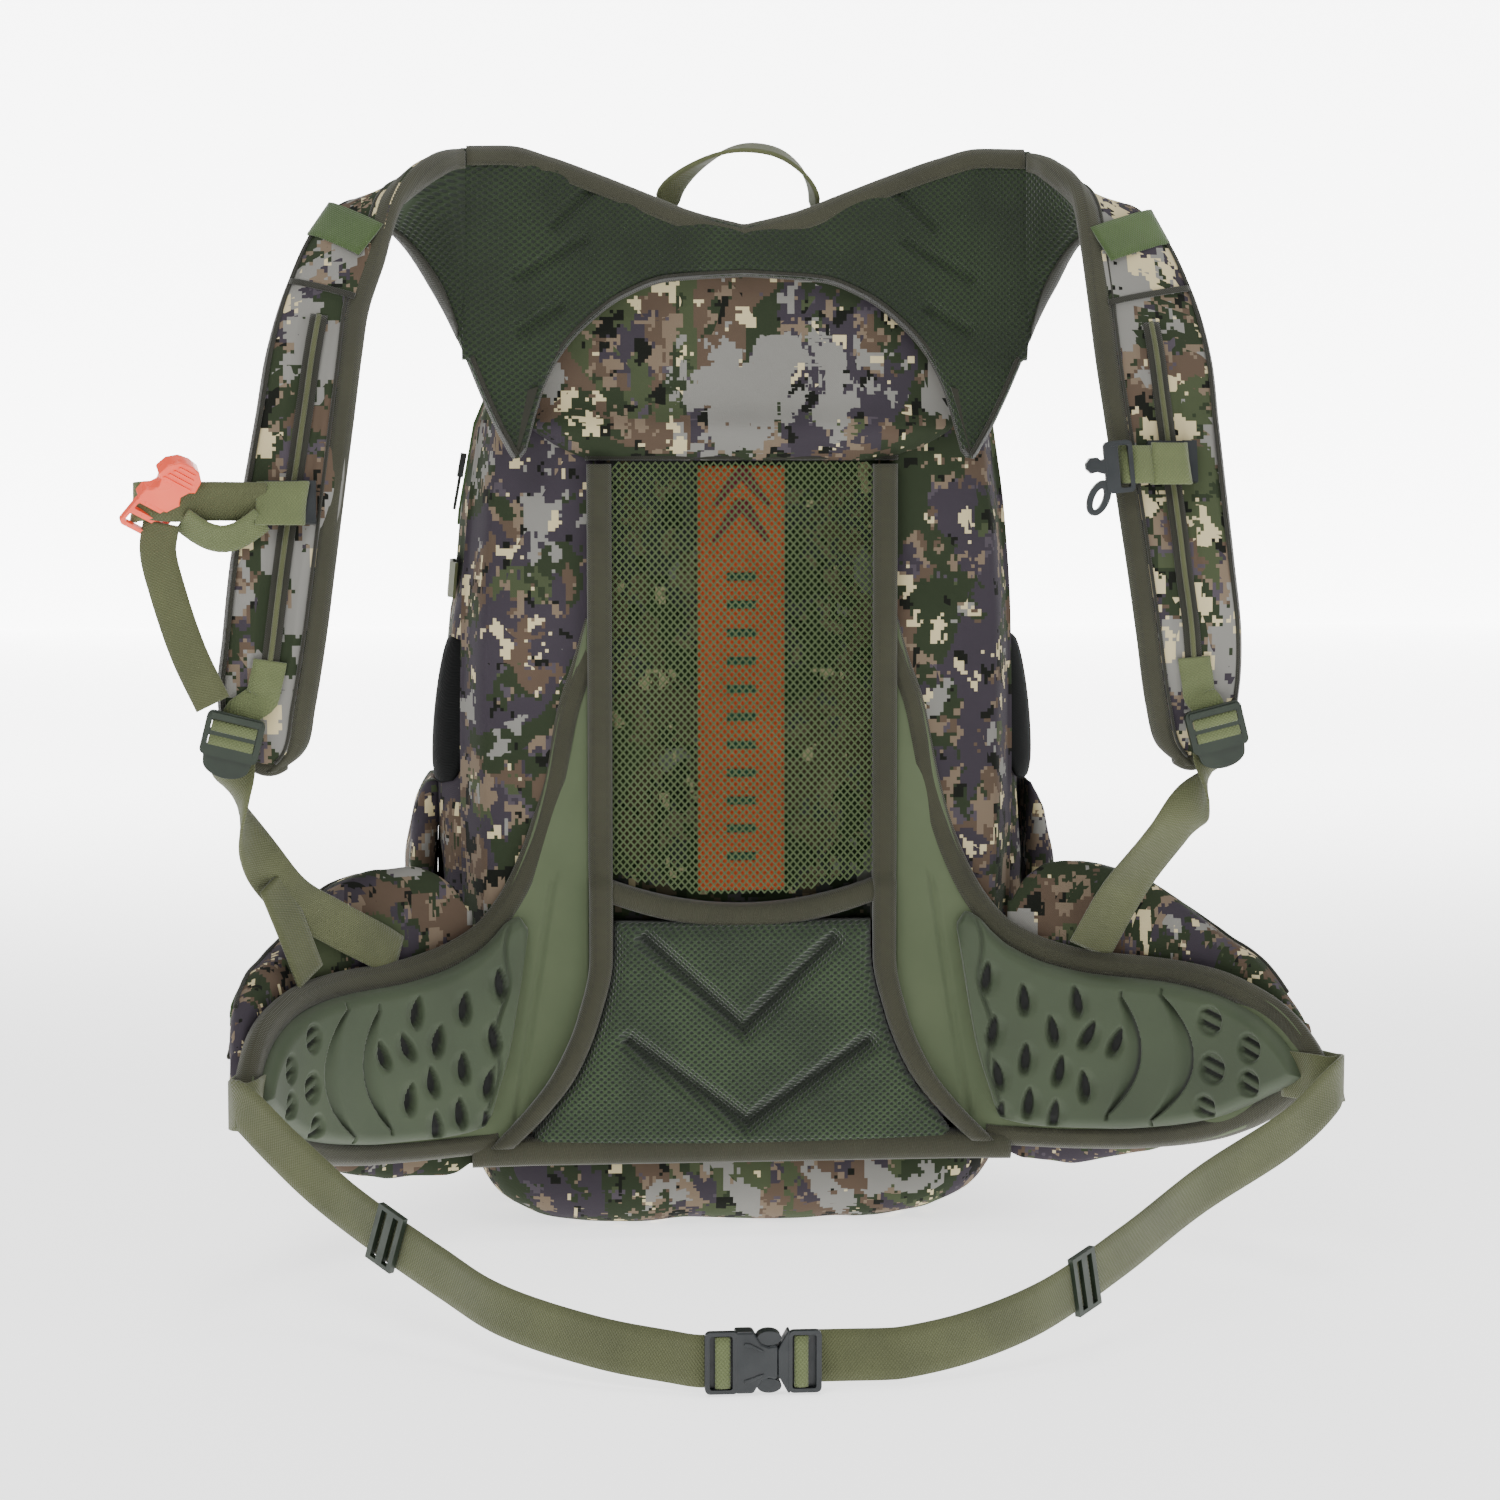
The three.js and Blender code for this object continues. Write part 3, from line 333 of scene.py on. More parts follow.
def tape_material(name, colour, rib=0.12, stitch=None):
    """Woven tape. UV is in centimetres: U runs along the tape, V across it."""
    g = Graph(name, roughness=0.75, sheen=0.2, specular=0.3)
    split = g.split(g.place("UV"))
    lengthways = g.math("SINE", g.times(split[0], 2 * math.pi / rib))
    crossways = g.math("SINE", g.times(split[1], 2 * math.pi / (rib * 1.3)))
    height = g.times(lengthways, crossways)
    base = g.mix(1.0, hexa(colour), g.cloud(30.0, 3.0, first=0.80, last=1.06), "MULTIPLY")
    fleck = g.ramp(height, [(0.0, 0.0), (1.0, 1.0)])
    base = g.mix(g.times(fleck, 0.22), base, hexa("20221a"))
    if stitch is not None:
        # Two rows of dashes at the given distance from the middle, in centimetres.
        far = g.math("ABSOLUTE", g.math("SUBTRACT", g.math("ABSOLUTE", split[1]), stitch))
        row = g.ramp(far, [(0.03, 1.0), (0.05, 0.0)])
        dash = g.steps(g.math("FRACT", g.times(split[0], 2.6)), (0.0, 0.0), (0.3, 1.0))
        base = g.mix(g.times(row, g.times(dash, 0.55)), base, hexa("2a2a20"))
    return g.finish(base, g.bump(height, 0.45, 0.0005))


def plain_fabric(name, colour, other, pitch=0.0008, strength=0.2, sheen=0.15, specular=0.25):
    """Plain woven cloth that varies softly between two colours."""
    g = Graph(name, roughness=0.8, sheen=sheen, specular=specular)
    base = g.mix(g.cloud(14.0, 4.0), hexa(colour), hexa(other))
    return g.finish(base, g.cloth_bump(60.0, 0.2, 0.001, pitch, strength))


def moulded(name, colour, other, roughness=0.5, specular=0.4):
    """Moulded plastic or metal with a fine grain and slight colour change."""
    g = Graph(name, roughness=roughness, specular=specular)
    base = g.mix(g.cloud(40.0, 3.0), hexa(colour), hexa(other))
    rough = g.cloud(120.0, 2.0, first=roughness - 0.08, last=roughness + 0.08)
    return g.finish(base, g.bump(g.noise(g.place(), 900.0, 2.0), 0.12, 0.0003), rough)


def pad_foam(name):
    """Moulded green foam, with painted shade where it is pressed in."""
    g = Graph(name, roughness=0.62, sheen=0.15, specular=0.35)
    base = painted_hollow_shade(g, g.mix(g.cloud(16.0, 3.0), hexa("323c29"), hexa("3d4832")), 1.0, hexa("0a0d09"))
    return g.finish(base, g.bump(g.noise(g.place(), 700.0, 3.0), 0.15, 0.0004))


set_stage()
MAT = {
    "camo": camo_material("camo"),
    "camo_hood": camo_material("camo_hood", cream=0.62, grey=0.60, shift=(0.35, 0.0, 0.22),
                               cluster=(0.016, -0.11, 0.472)),
    "camo_strap": camo_material("camo_strap", cream=0.575, grey=0.585, shift=(0.0, 0.07, 0.13)),
    "camo_net": camo_material("camo_net", tint=hexa("1f2b18"), shift=(0.11, 0.2, 0.05)),
    "mesh": mesh_material("spacer_mesh", hexa("24321c"), hexa("334428")),
    "mesh_dark": mesh_material("spacer_mesh_dark", hexa("16220c"), hexa("213016"), sheen=0.12),
    "binding": tape_material("binding_tape", "343424", stitch=0.32),
    "edge": tape_material("edge_tape", "232319"),
    "webbing": tape_material("olive_webbing", "4f5334", rib=0.16),
    "webbing_pale": tape_material("olive_webbing_pale", "5c6540", rib=0.16),
    "band": tape_material("band_webbing", "40542a", rib=0.16),
    "net": plain_fabric("net_yarn", "566640", "465630"),
    "gusset": plain_fabric("smooth_gusset", "535d44", "4a543c"),
    "orange": plain_fabric("vent_fabric", "b04a24", "9c3f1e"),
    "mark_red": plain_fabric("vent_mark_red", "5c1f24", "6b252a"),
    "mark_green": plain_fabric("vent_mark_green", "1f3a2a", "284632"),
    "black": plain_fabric("stretch_fabric", "0a0b0b", "0e1010", pitch=0.0016, strength=0.3, sheen=0.0,
                          specular=0.12),
    "foam": pad_foam("moulded_foam"),
    "plastic": moulded("buckle_plastic", "1a1d1f", "232729", 0.38),
    "lock": moulded("lock_plastic", "1b241b", "263024", 0.4),
    "whistle": moulded("signal_plastic", "f0492a", "f85a38", 0.3, specular=0.6),
    "zip": tape_material("zip_tape", "20241d", rib=0.1),
    "zip_green": tape_material("zip_tape_green", "3f5230", rib=0.1),
    "teeth": moulded("zip_teeth", "1a1c1a", "242724", 0.4),
    "sheet": moulded("frame_sheet", "d6d6d0", "cfcfc8", 0.4),
    "metal": moulded("stay_metal", "b9bdc0", "aeb2b5", 0.35),
}


# ---------------------------------------------------------------- mesh helpers
def make(name, verts, faces, materials, body, replaces=(), uv=None, picks=None, smooth=True):
    """A mesh object from millimetre points. uv holds one (u, v) per vertex, in centimetres."""
    mesh = bpy.data.meshes.new(name)
    mesh.from_pydata([(p[0] * MM, p[1] * MM, p[2] * MM) for p in verts], [], [tuple(f) for f in faces])
    for material in materials:
        mesh.materials.append(MAT[material])
    if uv is not None:
        layer = mesh.uv_layers.new(name="uv")
        index = np.zeros(len(mesh.loops), np.int32)
        mesh.loops.foreach_get("vertex_index", index)
        layer.data.foreach_set("uv", np.asarray(uv, np.float32)[index].ravel())
    if picks is not None:
        mesh.polygons.foreach_set("material_index", np.asarray(picks, np.int32))
    mesh.polygons.foreach_set("use_smooth", [smooth] * len(mesh.polygons))
    mesh.validate()
    mesh.update()
    made = add_object(name, mesh)
    fix_normals(mesh)
    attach(made, body)
    if replaces:
        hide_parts(*replaces)
    return made


def fix_normals(mesh):
    work = bmesh.new()
    work.from_mesh(mesh)
    bmesh.ops.recalc_face_normals(work, faces=work.faces)
    work.to_mesh(mesh)
    work.free()


def modify(target, kind, **settings):
    made = target.modifiers.new(kind.lower(), kind)
    for key, value in settings.items():
        setattr(made, key, value)
    return made


def apply_all(target):
    graph = bpy.context.evaluated_depsgraph_get()
    mesh = bpy.data.meshes.new_from_object(target.evaluated_get(graph))
    old = target.data
    target.modifiers.clear()
    target.data = mesh
    bpy.data.meshes.remove(old)


def spline(points, count):
    """Centripetal Catmull-Rom through the points, count + 1 samples, even in point number."""
    p = np.asarray(points, float)
    first = 2 * p[0] - p[1]
    last = 2 * p[-1] - p[-2]
    p = np.vstack([first, p, last])
    out = []
    spans = len(p) - 3
    for i in range(count + 1):
        t = i / count * spans
        k = min(int(t), spans - 1)
        f = t - k
        a, b, c, d = p[k], p[k + 1], p[k + 2], p[k + 3]
        t1 = max(np.linalg.norm(b - a), 1e-6) ** 0.5
        t2 = t1 + max(np.linalg.norm(c - b), 1e-6) ** 0.5
        t3 = t2 + max(np.linalg.norm(d - c), 1e-6) ** 0.5
        x = t1 + f * (t2 - t1)
        a1 = (t1 - x) / t1 * a + x / t1 * b
        a2 = (t2 - x) / (t2 - t1) * b + (x - t1) / (t2 - t1) * c
        a3 = (t3 - x) / (t3 - t2) * c + (x - t2) / (t3 - t2) * d
        b1 = (t2 - x) / t2 * a1 + x / t2 * a2
        b2 = (t3 - x) / (t3 - t1) * a2 + (x - t1) / (t3 - t1) * a3
        out.append((t2 - x) / (t2 - t1) * b1 + (x - t1) / (t2 - t1) * b2)
    return np.array(out)


def length_along(points):
    """Distance run along a polyline to each of its points."""
    return np.concatenate([[0], np.cumsum(np.linalg.norm(np.diff(points, axis=0), axis=1))])


def even(points, step, values=None):
    """Resamples a polyline at about the given step in millimetres, or the rows of values at its points."""
    p = np.asarray(points, float)
    run = length_along(p)
    count = max(2, int(round(run[-1] / step)))
    at = np.linspace(0, run[-1], count + 1)
    return np.stack([np.interp(at, run, column) for column in (p if values is None else values).T], axis=1)


def unit(v):
    v = np.asarray(v, float)
    return v / np.maximum(np.linalg.norm(v, axis=-1, keepdims=True), 1e-9)


def along(rows, t, column=1):
    rows = np.asarray(rows, float)
    return np.interp(t, rows[:, 0], rows[:, column])


def ease(rows, t, column=1):
    """Smooth curve through rows, for outlines."""
    rows = np.asarray(rows, float)
    x, y = rows[:, 0], rows[:, column]
    h = np.diff(x)
    slope = np.diff(y) / h
    m = np.zeros(len(x))
    m[0], m[-1] = slope[0], slope[-1]
    for i in range(1, len(x) - 1):
        if slope[i - 1] * slope[i] > 0:
            w1 = 2 * h[i] + h[i - 1]
            w2 = h[i] + 2 * h[i - 1]
            m[i] = (w1 + w2) / (w1 / slope[i - 1] + w2 / slope[i])
    t = np.clip(np.asarray(t, float), x[0], x[-1])
    k = np.clip(np.searchsorted(x, t, side="right") - 1, 0, len(h) - 1)
    f = (t - x[k]) / h[k]
    return ((1 + 2 * f) * (1 - f) ** 2 * y[k] + f * (1 - f) ** 2 * h[k] * m[k]
            + f * f * (3 - 2 * f) * y[k + 1] + f * f * (f - 1) * h[k] * m[k + 1])


def step01(x):
    x = np.clip(x, 0, 1)
    return x * x * (3 - 2 * x)


def dome(x):
    """Quarter circle: 0 at 0, 1 from 1 on."""
    return math.sqrt(max(0.0, 1 - (1 - min(1.0, x)) ** 2))


def arch(x):
    """Half circle: 0 at 0 and at 1, 1 in the middle."""
    return math.sqrt(max(0.0, 1 - (2 * x - 1) ** 2))


def tube_faces(rows, ring):
    """Quads of a row of closed rings, with an n-gon on each end."""
    faces = []
    for r in range(rows - 1):
        for i in range(ring):
            j = (i + 1) % ring
            a = r * ring
            faces.append((a + i, a + j, a + ring + j, a + ring + i))
    faces.append(tuple(range(ring - 1, -1, -1)))
    faces.append(tuple((rows - 1) * ring + i for i in range(ring)))
    return faces


def skin(name, rings, across, material, body, replaces=()):
    """Closed tube through equal rings. U runs along its middle line and V is across, both in centimetres."""
    rings = np.asarray(rings, float)
    uv = np.zeros((*rings.shape[:2], 2))
    uv[:, :, 0] = (length_along(rings.mean(axis=1)) / 10)[:, None]
    uv[:, :, 1] = across
    return make(name, rings.reshape(-1, 3), tube_faces(*rings.shape[:2]), [material], body, replaces,
                uv.reshape(-1, 2))


# Section of flat webbing: share of its half width and of its half thickness, round the section.
WEB_ACROSS = np.array([-1, -0.97, -0.6, -0.2, 0.2, 0.6, 0.97, 1, 1, 0.97, 0.6, 0.2, -0.2, -0.6, -0.97, -1])
WEB_UP = np.array([0.35, 1, 1, 1, 1, 1, 1, 0.35, -0.35, -1, -1, -1, -1, -1, -1, -0.35])


def ribbon(name, points, across, width, thickness, material, body, replaces=(), step=3.0):
    """Flat webbing with rounded edges. across is one direction, or one for each point, and so is width."""
    p = np.asarray(points, float)
    a = np.broadcast_to(np.asarray(across, float), p.shape)
    w = np.broadcast_to(np.asarray(width, float), len(p))
    rows = even(p, step, np.column_stack([p, a, w]))
    p, a, w = rows[:, :3], rows[:, 3:6], rows[:, 6]
    way = unit(np.gradient(p, axis=0))
    side = unit(a - way * np.sum(a * way, axis=1, keepdims=True))
    up = np.cross(way, side)
    wide = side[:, None] * WEB_ACROSS[None, :, None] * w[:, None, None] / 2
    rings = p[:, None] + wide + up[:, None] * (WEB_UP * (thickness / 2))[None, :, None]
    return skin(name, rings, WEB_ACROSS[None, :] * w[:, None] / 20, material, body, replaces)


def tape(name, edge, inward, normal, front, rear, height, material, thick=0.9, lip=1.2):
    """Binding folded round an edge. height(d) is the half thickness of the pad at d from its edge."""
    edge = np.asarray(edge, float)
    inward = unit(inward)
    normal = np.broadcast_to(unit(normal), edge.shape)
    outer, inner = [], []
    for d in (front, front * 0.66, front * 0.33, 1.5):
        outer.append((d, height(d) + thick))
        inner.append((d, height(d) - 0.2))
    outer += [(-lip * 0.6, height(0) * 0.75), (-lip, 0.0), (-lip * 0.6, -height(0) * 0.75)]
    outer += [(d, -height(d) - thick) for d in (1.5, rear * 0.33, rear * 0.66, rear)]
    back = [(d, -height(d) + 0.2) for d in (rear, rear * 0.66, rear * 0.33, 1.5)]
    profile = np.array(outer + back + [(0.8, 0.0)] + inner[::-1])
    rings = edge[:, None] + inward[:, None] * profile[None, :, :1] + normal[:, None] * profile[None, :, 1:]
    spans = np.where(np.arange(len(profile)) < len(outer), profile[:, 0], 0)
    return skin(name, rings, (spans[None, :] - front / 2) / 10, material, "pack", ())


def grids(rows, shares, limits, place):
    """Front and rear points of a shell. place(row, share, *limits(row)) gives the pair at one place."""
    pairs = []
    for row in rows:
        found = limits(row)
        pairs.append([place(row, share, *found) for share in shares])
    pairs = np.array(pairs, float)
    return pairs[:, :, 0].copy(), pairs[:, :, 1].copy()


def grid_shell(name, front, rear, materials, replaces, uv=None, dip=None):
    """Closed shell between two equal grids of points, joined round the rim."""
    n, m = front.shape[:2]
    verts = np.vstack([front.reshape(-1, 3), rear.reshape(-1, 3)])
    base = n * m
    faces = []
    picked = []
    for i in range(n - 1):
        for j in range(m - 1):
            a, b, c, d = i * m + j, i * m + j + 1, (i + 1) * m + j + 1, (i + 1) * m + j
            faces += [(a, b, c, d), (base + d, base + c, base + b, base + a)]
            picked += [0, len(materials) - 1]
    rim = [(i, 0) for i in range(n - 1)] + [(n - 1, j) for j in range(m - 1)]
    rim += [(i, m - 1) for i in range(n - 1, 0, -1)] + [(0, j) for j in range(m - 1, 0, -1)]
    for (i0, j0), (i1, j1) in zip(rim, rim[1:] + rim[:1]):
        a, b = i0 * m + j0, i1 * m + j1
        faces.append((a, b, base + b, base + a))
        picked.append(0)
    if uv is not None:
        uv = np.vstack([uv.reshape(-1, 2), uv.reshape(-1, 2)])
    made = make(name, verts, faces, materials, "pack", [replaces], uv, picked)
    if dip is not None:
        # The dip attribute holds painted shade: how much darker the material draws each front point.
        layer = made.data.attributes.new("dip", "FLOAT", "POINT")
        layer.data.foreach_set("value", np.concatenate([dip.ravel(), np.zeros(n * m)]).astype(np.float32))
    return made


def crease(x, z, a, b, width):
    """1 on the line from a to b, falling to 0 at the given distance."""
    a = np.asarray(a, float)
    b = np.asarray(b, float)
    d = b - a
    t = np.clip(((x - a[0]) * d[0] + (z - a[1]) * d[1]) / (d @ d), 0, 1)
    far = np.hypot(x - (a[0] + t * d[0]), z - (a[1] + t * d[1]))
    return 1 - step01(far / width)


def round_corners(x0, x1, y0, y1, r, count, lift=0.0):
    """Outline of a rectangle with round corners, lift outside it."""
    out = []
    for x, y, start in ((x1 - r, y0 + r, -90), (x1 - r, y1 - r, 0), (x0 + r, y1 - r, 90), (x0 + r, y0 + r, 180)):
        for k in range(count + 1):
            a = math.radians(start + 90 * k / count)
            out.append((x + (r + lift) * math.cos(a), y + (r + lift) * math.sin(a)))
    return out


def rumple(points, scale, height, seed=0.0):
    """Noise value for each point, for cloth folds."""
    flat = np.asarray(points, float).reshape(-1, 3)
    places = [Vector((x * scale + seed, y * scale, z * scale * 0.6)) for x, y, z in flat]
    out = np.array([noise.noise(place) for place in places])
    return height * out.reshape(np.asarray(points).shape[:-1])


# ---------------------------------------------------------------- shared sizes, as in the model
NET_HALF = 72
NET_TOP = 429
NET_Y = -110
WING_X = 100
WING_Y = -104
WING_LEN = 250
WING_HALF_T = 5
RADIUS = {"left": WING_LEN / math.radians(85), "right": WING_LEN / math.radians(65)}
SIDE = {"left": -1, "right": 1}
PAD_HALF_T = 5.5
YOKE_Y = -118.4
YOKE_TOP = [[0, 556], [28, 563], [54, 573], [80, 583], [106, 592], [127, 597], [150, 596]]
YOKE_LOW = [[0, 530], [42, 527], [66, 518], [86, 503], [100, 487], [109, 470], [115, 451], [120, 434],
            [124, 431], [131, 441], [141, 462], [150, 484]]
YOKE_FORWARD = [[0, 0], [90, 0], [125, 4], [150, 12]]
WING_TOP = [[-15, 345], [-8, 320], [0, 297], [10, 250], [20, 218], [35, 189], [50, 173], [75, 162],
            [100, 157.5], [140, 156], [170, 153], [197, 146], [220, 136], [238, 122], [250, 108]]
WING_LOW = [[-15, 130], [-8, 106], [0, 87], [10, 71], [20, 59], [30, 51], [45, 49], [75, 48.5], [110, 50],
            [140, 54], [170, 61], [195, 71], [215, 82], [238, 96], [250, 102]]
PAD_TOP = [[20, 174], [25, 180], [32, 177], [40, 169], [50, 161], [75, 151], [100, 147], [140, 145.5],
           [170, 142], [197, 135], [218, 125], [232, 114], [238, 106]]
PAD_LOW = [[20, 170], [23, 152], [27, 128], [32, 103], [38, 84], [46, 64], [75, 60], [110, 61], [140, 65],
           [170, 72], [195, 82], [215, 92], [232, 100], [238, 104]]
HIP_POCKET = [[50, 6, 186, 40], [58, 15, 200, 34], [80, 30, 212, 31], [110, 40, 206, 38],
              [150, 33, 180, 54], [190, 21, 158, 70], [212, 13, 142, 84], [222, 8, 130, 92]]
BAND = [[428.5, 72.4, 85], [300, 72.4, 85], [215, 72.4, 85], [184, 72.4, 84.5], [156, 72.6, 84.5],
        [124, 79.5, 91], [92, 92.5, 105], [70, 109, 122], [52, 127, 140]]
STRAPS = {
    "left": {
        "neck": [[-150.4, -135, 595], [-164, -150, 592], [-177, -168, 581], [-187, -183, 563], [-194, -192, 535],
                 [-202, -201, 510], [-206, -208, 485], [-210.3, -214.8, 452], [-215.2, -222.4, 415],
                 [-220, -230, 378], [-225, -232, 341], [-231, -228, 306], [-236, -222, 284], [-247, -217, 274]],
        "arm": [[-150.4, -130, 484], [-168, -133, 521], [-190, -140, 551], [-210, -153, 562], [-228, -169, 551],
                [-243, -188, 520], [-253, -205, 487], [-258.6, -212.7, 454], [-265.1, -221.6, 417],
                [-271.5, -230, 380], [-276, -230, 341], [-279, -226, 312], [-275, -221, 286], [-262, -217, 274]]},
    "right": {
        "neck": [[150.4, -135, 595], [161, -150, 591], [169, -168, 580], [172, -182, 562], [174, -191, 535],
                 [176, -200, 508], [178, -208, 482], [182, -214.8, 449.4], [186.5, -222.4, 412.7],
                 [191, -230, 376], [196, -232, 340], [202, -228, 304], [209, -221, 283], [220, -217, 273]],
        "arm": [[150.4, -130, 484], [166, -133, 521], [184, -140, 551], [203, -153, 562], [218, -169, 549],
                [231, -188, 518], [238, -205, 483], [240.5, -212.7, 450.5], [243.2, -221.6, 414],
                [246, -230, 377.5], [250, -230, 341], [250, -226, 311], [246, -221, 286], [235, -217, 273]]}}


def soft(piece):
    return piece


# ---------------------------------------------------------------- yoke
def pad_height(d):
    """Half thickness of a padded edge at distance d inside it."""
    return PAD_HALF_T * (0.45 + 0.55 * dome(max(d, 0) / 8))


YOKE_CREASES = [(82, 577, 103, 556), (88, 548, 124, 528), (101, 512, 122, 500)]  # x and z of both ends
YOKE_LEAN = 0.12  # how far the yoke leans forward, outside x = 110


def build_yoke():
    columns = np.linspace(-153, 153, 163)  # runs a little way into each strap
    shares = np.concatenate([np.linspace(0, 0.08, 7), np.linspace(0.11, 0.89, 44), np.linspace(0.92, 1, 7)])

    def limits(x):
        half = abs(x)
        return YOKE_Y - ease(YOKE_FORWARD, half), ease(YOKE_LOW, half), ease(YOKE_TOP, half)

    def place(x, f, y, z0, z1):
        z = z0 + (z1 - z0) * f
        y = y - max(0, abs(x) - 110) * YOKE_LEAN * f
        h = pad_height(min(z - z0, z1 - z))
        side = 1 if x > 0 else -1
        dip = max(crease(x, z, (side * a, b), (side * c, d), 5.5) for a, b, c, d in YOKE_CREASES)
        swell = 1.6 * math.sin(math.pi * f) - 3.2 * dip
        return (x, y - h - swell, z), (x, y + h * 0.9, z)

    front, rear = grids(columns, shares, limits, place)
    front[:, :, 1] += rumple(front, 0.03, 0.8) * step01((150 - np.abs(columns)) / 15)[:, None]
    soft(grid_shell("yoke_pad", front, rear, ["mesh_dark", "camo"], "yoke"))

    def edge(rows, first, last, lean_share, name, width, material, sign, lip):
        points, inward = [], []
        for x in np.linspace(first, last, 90):
            half = abs(x)
            y = YOKE_Y - ease(YOKE_FORWARD, half) - max(0, half - 110) * YOKE_LEAN * lean_share
            points.append((x, y, ease(rows, half)))
            dz = (ease(rows, half + 0.5) - ease(rows, half - 0.5)) * (1 if x >= 0 else -1)
            inward.append((sign * dz, 0, -sign))
        tape(name, points, inward, (0, -1, 0), width, width, pad_height, material, lip=lip)

    edge(YOKE_TOP, -150, 150, 1.0, "yoke_top_binding", 9.5, "binding", 1, 1.4)
    edge(YOKE_LOW, -122, 122, 0.0, "yoke_arch_binding", 3.0, "edge", -1, 0.8)
    edge(YOKE_LOW, -150, -125, 0.0, "yoke_outer_binding_left", 4.0, "edge", -1, 0.8)
    edge(YOKE_LOW, 125, 150, 0.0, "yoke_outer_binding_right", 4.0, "edge", -1, 0.8)
    for side in (-1, 1):
        corners = [(side * x, z) for x, z in ((124, 431), (112, 470), (134, 462))]
        points = [(x, YOKE_Y - y, z) for y in (9.2, 2) for x, z in corners]
        faces = [(0, 1, 2), (5, 4, 3), (0, 3, 4, 1), (1, 4, 5, 2), (2, 5, 3, 0)]
        make("yoke_tip_%d" % (side + 1), points, faces, ["edge"], "pack", (), [(0, 0)] * 6,
             smooth=False)


# ---------------------------------------------------------------- shoulder straps
# Which way the cross product of a strap's length and width points, so that out is its printed side.
OUTWARD = {"left": -1, "right": 1}


def strap_edges(end, count):
    return spline(STRAPS[end]["neck"], count), spline(STRAPS[end]["arm"], count)


def strap_frame(end, t, f=0.5):
    """A point of a strap, its direction there, and the way out of its printed side."""
    neck, arm = strap_edges(end, 300)
    i = int(round(t * 300))
    lo, hi = max(0, i - 1), min(300, i + 1)
    across = arm[i] - neck[i]
    way = unit(unit(neck[hi] - neck[lo]) + unit(arm[hi] - arm[lo]))
    return neck[i] + across * f, way, unit(np.cross(way, across)) * OUTWARD[end]


STRAP_ROWS = 170
RAIL_FROM = 0.42  # the rail's stretch of the strap
RAIL_TO = 0.80
FLAP_FROM = 0.30  # the flap under the band at the top
FLAP_TO = 0.388


